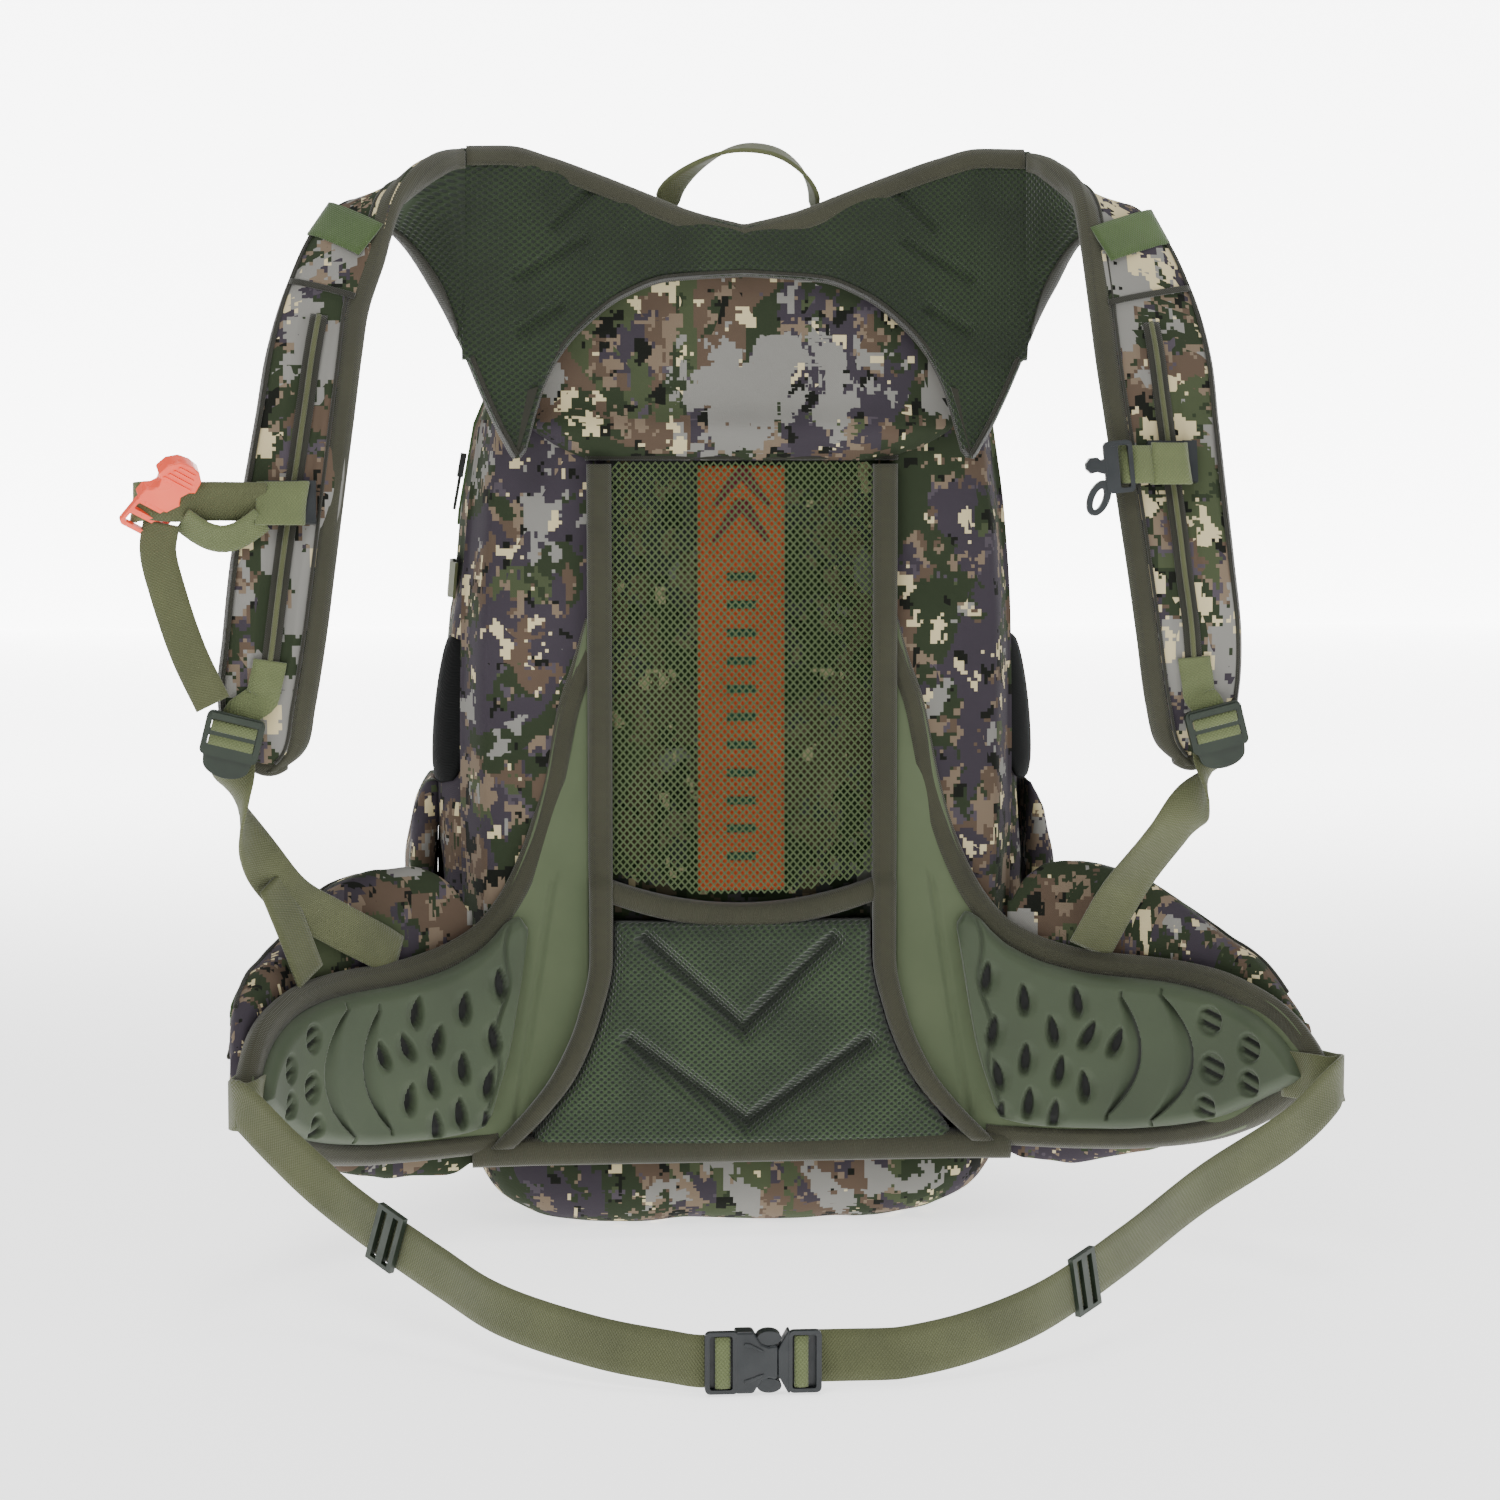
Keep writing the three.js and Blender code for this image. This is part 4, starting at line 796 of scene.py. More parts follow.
def build_strap(end):
    count = STRAP_ROWS
    neck, arm = strap_edges(end, count)
    way = unit(unit(np.gradient(neck, axis=0)) + unit(np.gradient(arm, axis=0)))
    across = arm - neck
    widths = np.array([np.linalg.norm(row) for row in across])
    out = unit(np.cross(way, across)) * OUTWARD[end]
    # The strap leaves the yoke with the yoke's own thickness direction.
    leave = (1 - step01(np.linspace(0, 1, count + 1) / 0.09))[:, None]
    out = unit(out * (1 - leave) + np.array((0, 1.0, 0)) * leave)
    shares = np.concatenate([np.linspace(0, 0.12, 8), np.linspace(0.16, 0.84, 26), np.linspace(0.88, 1, 8)])

    def place(i, f, t, width):
        base = neck[i] + across[i] * f
        h = pad_height(min(f, 1 - f) * width)
        h *= 0.75 + 0.25 * step01((1 - t) * 12)
        puff = 1.5 * math.sin(math.pi * f)
        flap = 1.6 * (step01((f - 0.13) / 0.02) * step01((0.87 - f) / 0.02))
        flap *= step01((t - FLAP_FROM) / 0.012) * step01((FLAP_TO - t) / 0.010)
        rail = 0.0
        if RAIL_FROM < t < RAIL_TO:
            rail = -1.4 * (1 - step01((abs(f - 0.5) * width - 7.5) / 3))
        return base + out[i] * (h + puff + flap + rail), base - out[i] * (h + puff)

    front, rear = grids(range(count + 1), shares, lambda i: (i / count, widths[i]), place)
    run = length_along((neck + arm) / 2)
    uv = np.zeros((*front.shape[:2], 2))
    uv[:, :, 0] = (run / 10)[:, None]
    uv[:, :, 1] = (shares - 0.5)[None, :] * widths[:, None] / 10
    settle = step01(np.linspace(0, 1, count + 1) / 0.08)[:, None, None]
    front += out[:, None, :] * rumple(front, 0.022, 1.1, 3.0)[:, :, None] * settle
    rear -= out[:, None, :] * rumple(rear, 0.02, 0.8, 5.0)[:, :, None] * settle
    soft(grid_shell("strap_pad_" + end, front, rear, ["camo_strap", "mesh_dark"], "shoulder_strap_" + end,
                    uv))

    def height(d):
        return pad_height(d) + 0.4

    # Wide tape on the neck edge, a narrow one on the arm edge, both running round the tip.
    inward = unit(across)
    tape("strap_neck_binding_" + end, neck, inward, out, 9.0, 10.0, height, "binding")
    tape("strap_arm_binding_" + end, arm[4:], -inward[4:], out[4:], 3.4, 6.0, height, "edge", lip=1.0)
    tips = np.array([neck[-1] + (arm[-1] - neck[-1]) * f for f in np.linspace(-0.15, 1.15, 12)])
    tips += np.array([way[-1] * (1 - (2 * f - 1) ** 2) * 4 for f in np.linspace(0, 1, 12)])
    tape("strap_tip_binding_" + end, tips, np.repeat(-way[-1:], 12, axis=0), out[-1], 9, 9, height, "binding")

    # Cord-like piping where the neck tape meets the printed face, and the raised rail down the strap.
    piping = [neck[i] + inward[i] * 10.2 + out[i] * (pad_height(10) + 1.4)
              for i in range(int(count * 0.17), count - 6)]
    rod("strap_piping_" + end, piping, 1.0, "edge")
    rail, sides = [], []
    for t in np.linspace(RAIL_FROM, RAIL_TO, 60):
        i = int(t * count)
        lift = pad_height(20) + 0.9 + 0.3 * math.sin(t * 60)
        rail.append(neck[i] + across[i] * 0.5 + out[i] * lift)
        sides.append(inward[i])
    ribbon("strap_rail_" + end, rail, sides, 9, 1.6, "edge", "pack")
    rod("strap_rail_cord_" + end, [p + out[int(count * 0.6)] * 0.8 for p in rail], 1.5, "webbing")

    # The webbing band sewn across the top, and the lower tape of the flap.
    for name, t, wide, lift, material, node in (
            ("strap_band_" + end + "_look", FLAP_FROM, 22, 2.6, "band", ["strap_band_" + end]),
            ("strap_flap_tape_" + end, FLAP_TO, 3, 1.2, "edge", [])):
        i = int(t * count)
        points = []
        for f in np.linspace(0.13, 0.965, 22):
            h = pad_height(min(f, 1 - f) * widths[i]) + 1.5 * math.sin(math.pi * f) + lift
            points.append(neck[i] + across[i] * f + out[i] * h)
        ribbon(name, points, way[i], wide, 1.6, material, "pack", node)


def rod(name, points, radius, material):
    """Round bead along a path."""
    p = even(points, 2.0)
    way = unit(np.gradient(p, axis=0))
    a = unit(np.cross(way, np.array([0.13, -0.9, 0.31])))
    b = np.cross(way, a)
    turns = np.linspace(0, 2 * math.pi, 8, endpoint=False)
    rings = [[p[i] + radius * (a[i] * math.cos(k) + b[i] * math.sin(k)) for k in turns] for i in range(len(p))]
    return skin(name, rings, np.linspace(0, 0.6 * radius, 8)[None, :], material, "pack", ())


# ---------------------------------------------------------------- hood, columns, back panel
HOOD_ROWS = [[430, 88], [440, 105], [450, 117], [478, 114], [500, 103], [520, 86], [540, 70], [556, 54]]


def build_hood():
    def place(z, f, half):
        puff = 11.0 * dome(min((1 - abs(f)) * half, 556.5 - z, 30) / 30)
        hem = 3.2 * (1 - step01((z - 430) / 7))
        roll = 4.5 * math.exp(-((z - 447) / 9) ** 2)
        return (f * half, -100.5 - puff - roll + hem, z), (f * half, -98.6 + (3 if z > 452 else 0), z)

    rows, shares = np.linspace(430, 556, 64), np.linspace(-1, 1, 101)
    front, rear = grids(rows, shares, lambda z: (ease(HOOD_ROWS, z),), place)
    wrinkle = rumple(front * np.array([1, 1, 2.2]), 0.022, 3.2, 9.0) + rumple(front, 0.05, 1.2, 2.0)
    front[:, :, 1] += wrinkle
    front[:, :, 1] = np.minimum(front[:, :, 1], -100.2)
    soft(grid_shell("hood_cloth", front, rear, ["camo_hood"], "hood_panel"))
    hem = [(x, -108.5 + 4 * (abs(x) / 88) ** 4, 431.5) for x in np.linspace(-86, 86, 60)]
    rod("hood_hem", hem, 1.7, "edge")


COLUMN_INNER = 76
COLUMN_OUTER = [[64, 143], [120, 152], [260, 155], [340, 154], [400, 150], [452, 143]]


def build_column(end):
    side = SIDE[end]

    def place(z, f, outer):
        x = COLUMN_INNER + (outer - COLUMN_INNER) * f
        bulge = 7.5 * math.sqrt(max(0.0, 1 - (2 * f - 0.75) ** 2 / 1.7))
        y = -97.6 - bulge + 24 * step01((f - 0.80) / 0.2) ** 1.5
        if f < 0.12:
            y = -98.4 - bulge * f / 0.12
        return (side * x, y, z), (side * x, -86.5 + 10 * step01((f - 0.6) / 0.4), z)

    rows, shares = np.linspace(64, 452, 96), np.linspace(0, 1, 46)
    front, rear = grids(rows, shares, lambda z: (ease(COLUMN_OUTER, z),), place)
    folds = rumple(front * np.array([1, 1, 1.7]), 0.020, 5.0, 21.0 + side) + rumple(front, 0.05, 1.6, 12.0)
    front[:, :, 1] += np.where(front[:, :, 1] + folds < -117, 0, folds)
    front[:, :, 1] = np.minimum(front[:, :, 1], rear[:, :, 1] - 1.0)
    soft(grid_shell("column_cloth_" + end, front, rear, ["camo"], "column_" + end))


def nothing(row):
    """No limits for the rows of a plain shell."""
    return ()


def build_back_panel():
    front, rear = grids(np.linspace(62, 448, 80), np.linspace(-1, 1, 61), nothing,
                        lambda z, f: ((f * 92, -98.2, z), (f * 92, -88.6, z)))
    front[:, :, 1] += np.abs(rumple(front, 0.02, 1.6, 4.0)) * 0.9
    soft(grid_shell("back_cloth", front, rear, ["camo_net"], "back_panel"))
    # Orange strip behind the net, with darker pointed bands across it.
    front, rear = grids(np.linspace(192, 427, 120), np.linspace(-24, 24, 17), nothing,
                        lambda z, x: ((x, -100.6 - 0.5 * math.cos(x / 24 * 1.5), z), (x, -98.6, z)))
    grid_shell("vent_cloth", front, rear, ["orange"], "vent_strip")
    for k, (apex, foot) in enumerate(((424, 405), (407, 385))):
        points = even([(-15, -101.4, foot), (0, -101.6, apex), (15, -101.4, foot)], 2)
        widths = 2.5 + 5.0 * (1 - np.abs(points[:, 0]) / 15)
        ribbon("vent_mark_%d" % k, points, (0, 0, 1), widths, 0.5, "mark_red", "pack", ())
    for k in range(11):
        z = 366 - 15.5 * k
        ribbon("vent_bar_%d" % k, [(-8, -101.5, z), (0, -101.6, z), (8, -101.5, z)], (0, 0, 1), 4.5, 0.5,
               "mark_green", "pack", ())


# ---------------------------------------------------------------- net, binding, lumbar pad
def net_low(x):
    """Height of the net's curved lower edge."""
    t = (x / NET_HALF + 1) / 2
    return (1 - t) ** 2 * 206 + 2 * t * (1 - t) * 179 + t * t * 206


NET_PITCH = 4.0
NET_COLUMN = NET_PITCH / 2
NET_ROW = NET_COLUMN * 1.12


def build_net():
    """Diamond mesh: one thin thread cage made from the edges of a diagonal grid."""
    verts, faces, lookup = [], [], {}

    def vertex(i, j):
        if (i, j) not in lookup:
            x = i * NET_COLUMN
            z = NET_TOP - j * NET_ROW
            lookup[(i, j)] = len(verts)
            verts.append((x, NET_Y + 0.6 * math.sin(x * 0.03) * math.sin(z * 0.02), z))
        return lookup[(i, j)]

    reach = int(NET_HALF / NET_COLUMN)
    for i in range(-reach, reach):
        for j in range(i % 2, 130, 2):
            corners = [(i, j), (i + 1, j + 1), (i, j + 2), (i - 1, j + 1)]
            if all(abs(a) <= reach and NET_TOP - b * NET_ROW > net_low(a * NET_COLUMN) - 3 for a, b in corners):
                faces.append([vertex(*c) for c in corners])
    net = make("net_threads", verts, faces, ["net"], "pack", ["mesh_net"])
    modify(net, "WIREFRAME", thickness=0.0012, use_even_offset=False, use_boundary=True)
    return net


# Sections of the net's tapes: share of the width and height for the sides, y and z for the lower one.
SIDE_TAPE = [(0, 0), (0, 5), (0.06, 8.2), (0.2, 9.8), (0.5, 10.3), (0.8, 9.8), (0.94, 8.2), (1, 5), (1, 0)]
LOW_TAPE = [(-107, 1), (-111, 0.6), (-114, -0.6), (-115.2, -3), (-115.6, -6), (-115.2, -9), (-114, -11.4),
            (-111, -12.4), (-107, -12.6)]


def build_net_binding():
    # Sides: flat tape with rounded edges from the hood to the floor of the lumbar pad.
    band = BAND[::-1]
    for end, side in SIDE.items():
        rings = []
        for z in np.linspace(428, 52, 120):
            inner = float(ease(band, z, 1)) - 0.4
            width = float(ease(band, z, 2)) + 0.4 - inner
            y = -106 if z > 200 else -109.4
            rings.append([(side * (inner + width * f), y - h, z) for f, h in SIDE_TAPE])
        keep = ["net_binding"] if end == "left" else []
        across = (np.array([f for f, h in SIDE_TAPE]) - 0.5) * 1.25
        skin("net_side_binding_" + end, rings, across, "binding", "pack", keep)
    rings = []
    for x in np.linspace(-74, 74, 70):
        z = net_low(x) - 7.5 if abs(x) < 72 else 198
        rings.append([(x, y, z + dz) for y, dz in LOW_TAPE])
    skin("net_low_binding", rings, np.linspace(-0.55, 0.55, 9), "binding", "pack", ())


LUMBAR_OUTLINE = [[48.5, 122], [60, 115], [70, 108], [92, 92], [124, 79], [156, 72], [176, 71.5]]
LUMBAR_GROOVES = [((-54, 167), (0, 116)), ((0, 116), (50, 166)), ((-63, 110), (2, 64)), ((2, 64), (69, 108))]
LUMBAR_TAPE = [(7, 3), (-8, 3), (-10.5, 1.5), (-11.6, -2), (-11.6, -7), (-10.5, -10.5), (-8, -12), (7, -12)]


def build_lumbar():
    rows, shares = np.linspace(48.5, 176, 90), np.linspace(-1, 1, 141)
    dark = []

    def place(z, f, half):
        x = f * half
        puff = 10.5 * dome(min((1 - abs(f)) * half, 176.5 - z, z - 48, 10) / 10) + 2.5 * math.cos(x / 90)
        dip = max(crease(x, z, a, b, 8.5) for a, b in LUMBAR_GROOVES)
        # Painted shade along the grooves, for the mesh material's dip attribute.
        dark.append(step01((dip - 0.45) / 0.5))
        return (x, -105.5 - puff + 7.2 * dip, z), (x, -99.2, z)

    front, rear = grids(rows, shares, lambda z: (ease(LUMBAR_OUTLINE, z),), place)
    soft(grid_shell("lumbar_cushion", front, rear, ["mesh"], "lumbar_pad", dip=np.array(dark)))
    rings = []
    for x in np.linspace(-150, 150, 90):
        past = max(0, abs(x) - 118)
        rings.append([(x, -106 + past * 0.06 + dy, 53.5 - past * 0.03 + dz) for dy, dz in LUMBAR_TAPE])
    skin("lumbar_low_binding", rings, np.linspace(-0.6, 0.6, 8), "binding", "pack", ())


# ---------------------------------------------------------------- hip wings, pads and pockets
def wing_point(end, s, offset, z):
    """The point at arc length s round a hip wing, offset from its middle surface away from the body."""
    r = RADIUS[end]
    a = max(0, s) / r
    x = WING_X + min(0, s) + r * math.sin(a) + offset * math.sin(a)
    y = WING_Y - r * (1 - math.cos(a)) + offset * math.cos(a)
    return np.array((SIDE[end] * x, y, z))


def wing_out(end, s):
    a = max(0, s) / RADIUS[end]
    return np.array((SIDE[end] * math.sin(a), math.cos(a), 0.0))


def wing_height(d):
    return WING_HALF_T * (0.5 + 0.5 * dome(max(d, 0) / 6))


def wing_limits(low_rows, top_rows):
    """Function that gives the lowest and highest z at an arc position."""
    return lambda s: (float(ease(low_rows, s)), float(ease(top_rows, s)))


def build_wing(end):
    # Starts beside the net binding, so its first column follows the binding's outer edge.
    arcs = np.concatenate([np.linspace(-15, 30, 26), np.linspace(33, WING_LEN, 74)])
    shares = np.concatenate([np.linspace(0, 0.06, 5), np.linspace(0.09, 0.91, 34), np.linspace(0.94, 1, 5)])

    def place(s, f, z0, z1):
        z = z0 + (z1 - z0) * f
        edge = wing_height(min(z - z0, z1 - z))
        h = edge + (1.4 * math.sin(math.pi * f) - 2.2 * crease(s, z, (5, 200), (27, 66), 3))
        return wing_point(end, s, -h, z), wing_point(end, s, edge - 0.3, z)

    front, rear = grids(arcs, shares, wing_limits(WING_LOW, WING_TOP), place)
    normals = np.array([wing_out(end, s) for s in arcs])
    front += normals[:, None, :] * rumple(front, 0.02, 1.3, 6.0)[:, :, None]
    soft(grid_shell("wing_cloth_" + end, front, rear, ["gusset", "camo"], "hip_wing_" + end))
    # The binding runs along the top, round the tip and back along the lower edge.
    path = [(s, float(ease(WING_TOP, s))) for s in np.linspace(-14.6, 246, 150)]
    path += [(249.6, 108.5), (250.6, 105), (249.6, 101.5)]
    path += [(s, float(ease(WING_LOW, s))) for s in np.linspace(246, 36, 110)]
    points = [wing_point(end, s, 0, z) for s, z in path]
    way = np.gradient(np.array(path), axis=0)
    way /= np.linalg.norm(way, axis=1, keepdims=True)
    inward, normal = [], []
    for (s, z), (ds, dz) in zip(path, way):
        ahead = unit(wing_point(end, s + 1, 0, z) - wing_point(end, s - 1, 0, z))
        inward.append(ahead * dz + np.array((0, 0, 1.0)) * -ds)
        normal.append(-wing_out(end, s))
    tape("wing_binding_" + end, points, inward, normal, 10.5, 10.5, wing_height, "binding", thick=1.1, lip=1.4)


# Slots as arc position, height and lean in degrees from upright; hollows by three points; round pits.
OVALS = [(37, 144, -8), (59, 132, 4), (90, 132, 8), (41, 114, -10), (76, 115, 10), (97, 114, -28), (60, 99, -4),
         (80, 93, -12), (44, 89, 12), (95, 85, 6), (62, 74, -6), (45, 66, -12), (77, 68, -10), (114, 111, -24)]
CRESCENTS = [((117, 136), (129, 109), (109, 70)), ((142, 139), (163, 105), (136, 69))]
ROUND = [(175, 128, 8), (203, 116, 8), (177, 102, 8.5), (203, 97, 7.5), (172, 80, 7)]


def pad_relief(s, z):
    """(depth of the cut, painted shade) of the moulded pattern at one place of a hip pad."""
    deep, dark = 0.0, 0.0
    for a, b, turn in OVALS:
        c, q = math.cos(math.radians(turn)), math.sin(math.radians(turn))
        u, w = (z - b) * c - (s - a) * q, (z - b) * q + (s - a) * c
        if abs(u) > 15 or abs(w) > 11:
            continue
        wide = 2.7 * (1 - 0.3 * u / 7.4)
        r = math.hypot(u / 7.4, w / wide)
        deep = max(deep, 6.0 * (1 - step01((r - 0.9) / 0.5)))
        # Painted shade inside the slot.
        dark = max(dark, 1 - step01((r - 0.78) / 0.3))
        # A soft hollow beside the slot and a low ridge on its other side.
        shade = 1 - step01(math.hypot(u / 11, (w - 2.5) / 7.5))
        deep = max(deep, 2.8 * shade)
    for a, b, c in CRESCENTS:
        # A bowed hollow between the two points, deep on its outer edge, with painted shade along that edge.
        t = (z - a[1]) / (c[1] - a[1])
        if -0.05 < t < 1.05:
            t = min(1.0, max(0.0, t))
            chord = a[0] + (c[0] - a[0]) * t
            bow = (b[0] - (a[0] + c[0]) / 2) * 4 * t * (1 - t)
            far = s - (chord + bow)
            thick = 13 * math.sin(math.pi * t) + 0.6
            inside = step01((far + thick) / max(thick, 0.5)) * (1 - step01(far / 1.6))
            deep = max(deep, 4.6 * inside)
            dark = max(dark, (1 - step01(abs(far + 1.1) / 2.4)) * math.sin(math.pi * t) ** 0.5)
    for a, b, r in ROUND:
        far = math.hypot(s - a, z - b)
        deep = max(deep, 2.4 * (1 - step01((far - r + 1.5) / 2.5)))
        across = (s - a) * 0.30 + (z - b) * 0.95
        stripe = max(0.0, -math.cos(across * 2 * math.pi / 6.6))
        if far < r - 0.8:
            deep = max(deep, 2.4 + 2.4 * stripe)
            # Painted shade in the deeper stripes of the pit.
            dark = max(dark, 0.9 * step01((stripe - 0.15) / 0.35) * (1 - step01((far - r + 2.2) / 1.4)))
    # Embossed wave near the root of the pad, with painted shade in its groove.
    wave = abs(s - (31 + (175 - z) * 0.12 + 2.2 * math.sin((z - 60) / 7.5)))
    deep = max(deep, 2.0 * (1 - step01(wave / 2.2)))
    dark = max(dark, 0.35 * (1 - step01(wave / 1.2)))
    return deep, dark


def build_hip_pad(end):
    dip = []

    def place(s, f, z0, z1):
        z = z0 + (z1 - z0) * f
        d = max(0.0, min(z - z0, z1 - z, (s - 19) * 0.9, (239 - s) * 0.9))
        deep, dark = pad_relief(s, z)
        fade = step01(d / 3)
        # dip gathers the painted shade of each front point, faded towards the pad's edge.
        dip.append(dark * fade)
        h = WING_HALF_T + 1.0 + 7.6 * dome(d / 7) - deep * fade
        return wing_point(end, s, -max(h, WING_HALF_T + 0.6), z), wing_point(end, s, -WING_HALF_T + 0.6, z)

    arcs, shares = np.linspace(20, 238, 232), np.linspace(0, 1, 92)
    front, rear = grids(arcs, shares, wing_limits(PAD_LOW, PAD_TOP), place)
    soft(grid_shell("hip_foam_" + end, front, rear, ["foam"], "hip_pad_" + end,
                    dip=np.array(dip)))


POCKET_SIDES = 64  # points round a section of the pocket, counted from its top towards its far side


def build_hip_pocket(end):
    arcs = np.linspace(48, 224, 90)
    base = WING_HALF_T + 0.2
    rings = []
    for s in arcs:
        d, z1, z0 = (float(ease(HIP_POCKET, s, column)) for column in (1, 2, 3))
        mid, half = (z0 + z1) / 2, (z1 - z0) / 2
        row = []
        for k in range(POCKET_SIDES):
            a = 2 * math.pi * k / POCKET_SIDES
            # Rounded box section: flat against the wing, full on the far side.
            c, q = math.cos(a), math.sin(a)
            u = math.copysign(abs(c) ** 0.62, c)
            w = math.copysign(abs(q) ** 0.62, q)
            row.append(wing_point(end, s, base + d * 0.5 * (1 + w), mid + u * half * (1 - 0.10 * (w + 1) / 2)))
        rings.append(row)
    rings = np.array(rings)
    outward = np.array([wing_out(end, s) for s in arcs])
    way = unit(rings - rings.mean(axis=1, keepdims=True))
    folds = rumple(rings * np.array([1, 1, 1.5]), 0.025, 4.5, 13.0 * SIDE[end]) + rumple(rings, 0.06, 1.5, 3.0)
    rings += way * np.minimum(folds, 1.5)[:, :, None]
    # Nothing of the pocket sinks into the wing.
    middle = np.array([wing_point(end, s, 0, 0) for s in arcs])[:, None, :]
    push = np.maximum(0, base - np.einsum("ijk,ik->ij", rings - middle, outward))
    rings += outward[:, None, :] * push[:, :, None]
    soft(make("hip_pocket_cloth_" + end, rings.reshape(-1, 3), tube_faces(len(rings), POCKET_SIDES), ["camo"],
              "pack", ["hip_pocket_" + end]))
    # A piping line on each gusset seam, and a zip between two green tapes over the top of the pocket.
    for shift, k in ((6, 3), (25, 15)):
        line = [rings[i, k] + way[i, k] * 0.8 for i in range(6, len(arcs) - 10)]
        rod("hip_pocket_piping_%s_%d" % (end, shift), line, 1.3, "edge")
    k = 10
    span = range(8, len(arcs) - 14)
    line = [rings[i, k] + way[i, k] * 0.8 for i in span]
    sides = [unit(rings[i, k + 1] - rings[i, k - 1]) for i in span]
    lifted = [p + way[i, k] * 0.7 for i, p in zip(span, line)]
    for part, points, wide, thick, material in (("tape", line, 13, 1.2, "zip_green"),
                                                ("teeth", lifted, 3.4, 1.4, "teeth")):
        name = "hip_pocket_zip_%s_%s" % (part, end)
        ribbon(name, points, sides, wide, thick, material, "pack", ())


# ---------------------------------------------------------------- bag volumes
def seat_zip(points):
    """Brings the cloth of the main bag out to its zip, on both sides."""
    x, y, z = (np.abs(points[:, 0]), points[:, 1], points[:, 2])
    half = along(MAIN_ROWS, z / MM) * MM + 0.0009
    near = step01((0.016 - np.abs(y - 0.018)) / 0.008) * step01((z - 0.340) / 0.015)
    near *= step01((x - half + 0.016) / 0.008)
    points[:, 0] += np.sign(points[:, 0]) * np.maximum(half - x, 0) * near


def soften(name, node, size=0.006, amount=0.006, smooth_steps=14):
    """A closed cloth copy of a plain solid: remeshed, rounded and given folds."""
    source = NODES[node]
    graph = bpy.context.evaluated_depsgraph_get()
    start = bpy.data.meshes.new_from_object(source.evaluated_get(graph))
    start.transform(source.matrix_world)
    made = add_object(name, start)
    start.materials.clear()
    modify(made, "REMESH", mode="VOXEL", voxel_size=size)
    modify(made, "SMOOTH", iterations=smooth_steps, factor=0.6)
    apply_all(made)
    mesh = made.data
    mesh.materials.clear()
    mesh.materials.append(MAT["camo"])
    points, normals = np.zeros((2, len(mesh.vertices) * 3))
    mesh.vertices.foreach_get("co", points)
    mesh.vertices.foreach_get("normal", normals)
    points = points.reshape(-1, 3)
    folds = rumple(points * 1000 * np.array([1, 1, 1.6]), 0.016, amount, 31.0)
    folds += rumple(points * 1000, 0.045, amount * 0.3, 8.0)
    points += normals.reshape(-1, 3) * np.minimum(folds, 0.0025)[:, None]
    if node == "bag_main":
        seat_zip(points)
    points[:, 2] = np.maximum(points[:, 2], 0.0)
    mesh.vertices.foreach_set("co", points.ravel())
    mesh.polygons.foreach_set("use_smooth", [True] * len(mesh.polygons))
    mesh.update()
    modify(made, "SUBSURF", levels=1, render_levels=1)
    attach(made, "pack")
    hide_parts(node)
    return soft(made)


def seam_ring(name, rows, z, lift=0.5):
    """Piping round a bag at height z."""
    half, y0, y1, r = (float(along(rows, z, column)) for column in (1, 2, 3, 4))
    line = [(x, y, z) for x, y in round_corners(-half, half, y0, y1, r, 12, lift)]
    line.append(line[0])
    return rod(name, line, 1.8, "edge")


MAIN_ROWS = [[52, 148, -80, 58, 28], [70, 158, -80, 60, 30], [130, 165, -80, 60, 32], [200, 167, -80, 60, 32],
             [260, 165, -80, 60, 32], [330, 158, -80, 60, 32], [400, 152, -80, 60, 32], [450, 143, -80, 60, 34],
             [490, 126, -80, 57, 38], [517, 104, -79, 50, 40], [536, 78, -74, 40, 40], [546, 50, -64, 28, 34]]
BOTTOM_ROWS = [[0, 104, -72, 84, 34], [5, 118, -84, 94, 36], [16, 136, -91, 100, 36], [32, 146, -93, 102, 34],
               [44, 150, -92, 102, 32], [51.6, 146, -88, 98, 30]]


def build_stretch(end):
    """Black panel on the rounded front corner of the bag, an oval seen from the side."""
    side = SIDE[end]

    def limits(u):
        z = 249 + 82 * u
        reach = arch(u) ** 0.6
        return z, float(along(MAIN_ROWS, z)), -16 - 42 * reach, 10 + 32 * reach

    def place(u, f, z, half, first, last):
        run = first + (last - first) * f
        out = np.array((1.0, 0.0))
        base = np.array((half, -48 + run * 1.6))
        if run < 0:
            out = np.array((math.cos(math.radians(run)), math.sin(math.radians(run))))
            base = np.array((half - 32, -48.0)) + out * 32
        points = [base + out * lift for lift in (1.6 + 5.5 * arch(f) * arch(u), 0.2)]
        return [(side * x, y, z) for x, y in points]

    front, rear = grids(np.linspace(0, 1, 40), np.linspace(0, 1, 40), limits, place)
    soft(grid_shell("stretch_cloth_" + end, front, rear, ["black"], "stretch_panel_" + end))


def build_bags():
    soften("main_cloth", "bag_main")
    soften("bottom_cloth", "bag_bottom", smooth_steps=6, amount=0.004)
    soften("front_cloth", "bag_front_compartment", size=0.005)
    soften("slip_pocket_cloth", "bag_front_pocket", size=0.004, smooth_steps=5, amount=0.004)
    for end in SIDE:
        soften("side_pocket_cloth_" + end, "side_pocket_" + end, size=0.004, smooth_steps=6, amount=0.005)
        build_stretch(end)
    seam_ring("base_seam", BOTTOM_ROWS, 46)
    seam_ring("base_seam_upper", MAIN_ROWS, 58, lift=-3.0)


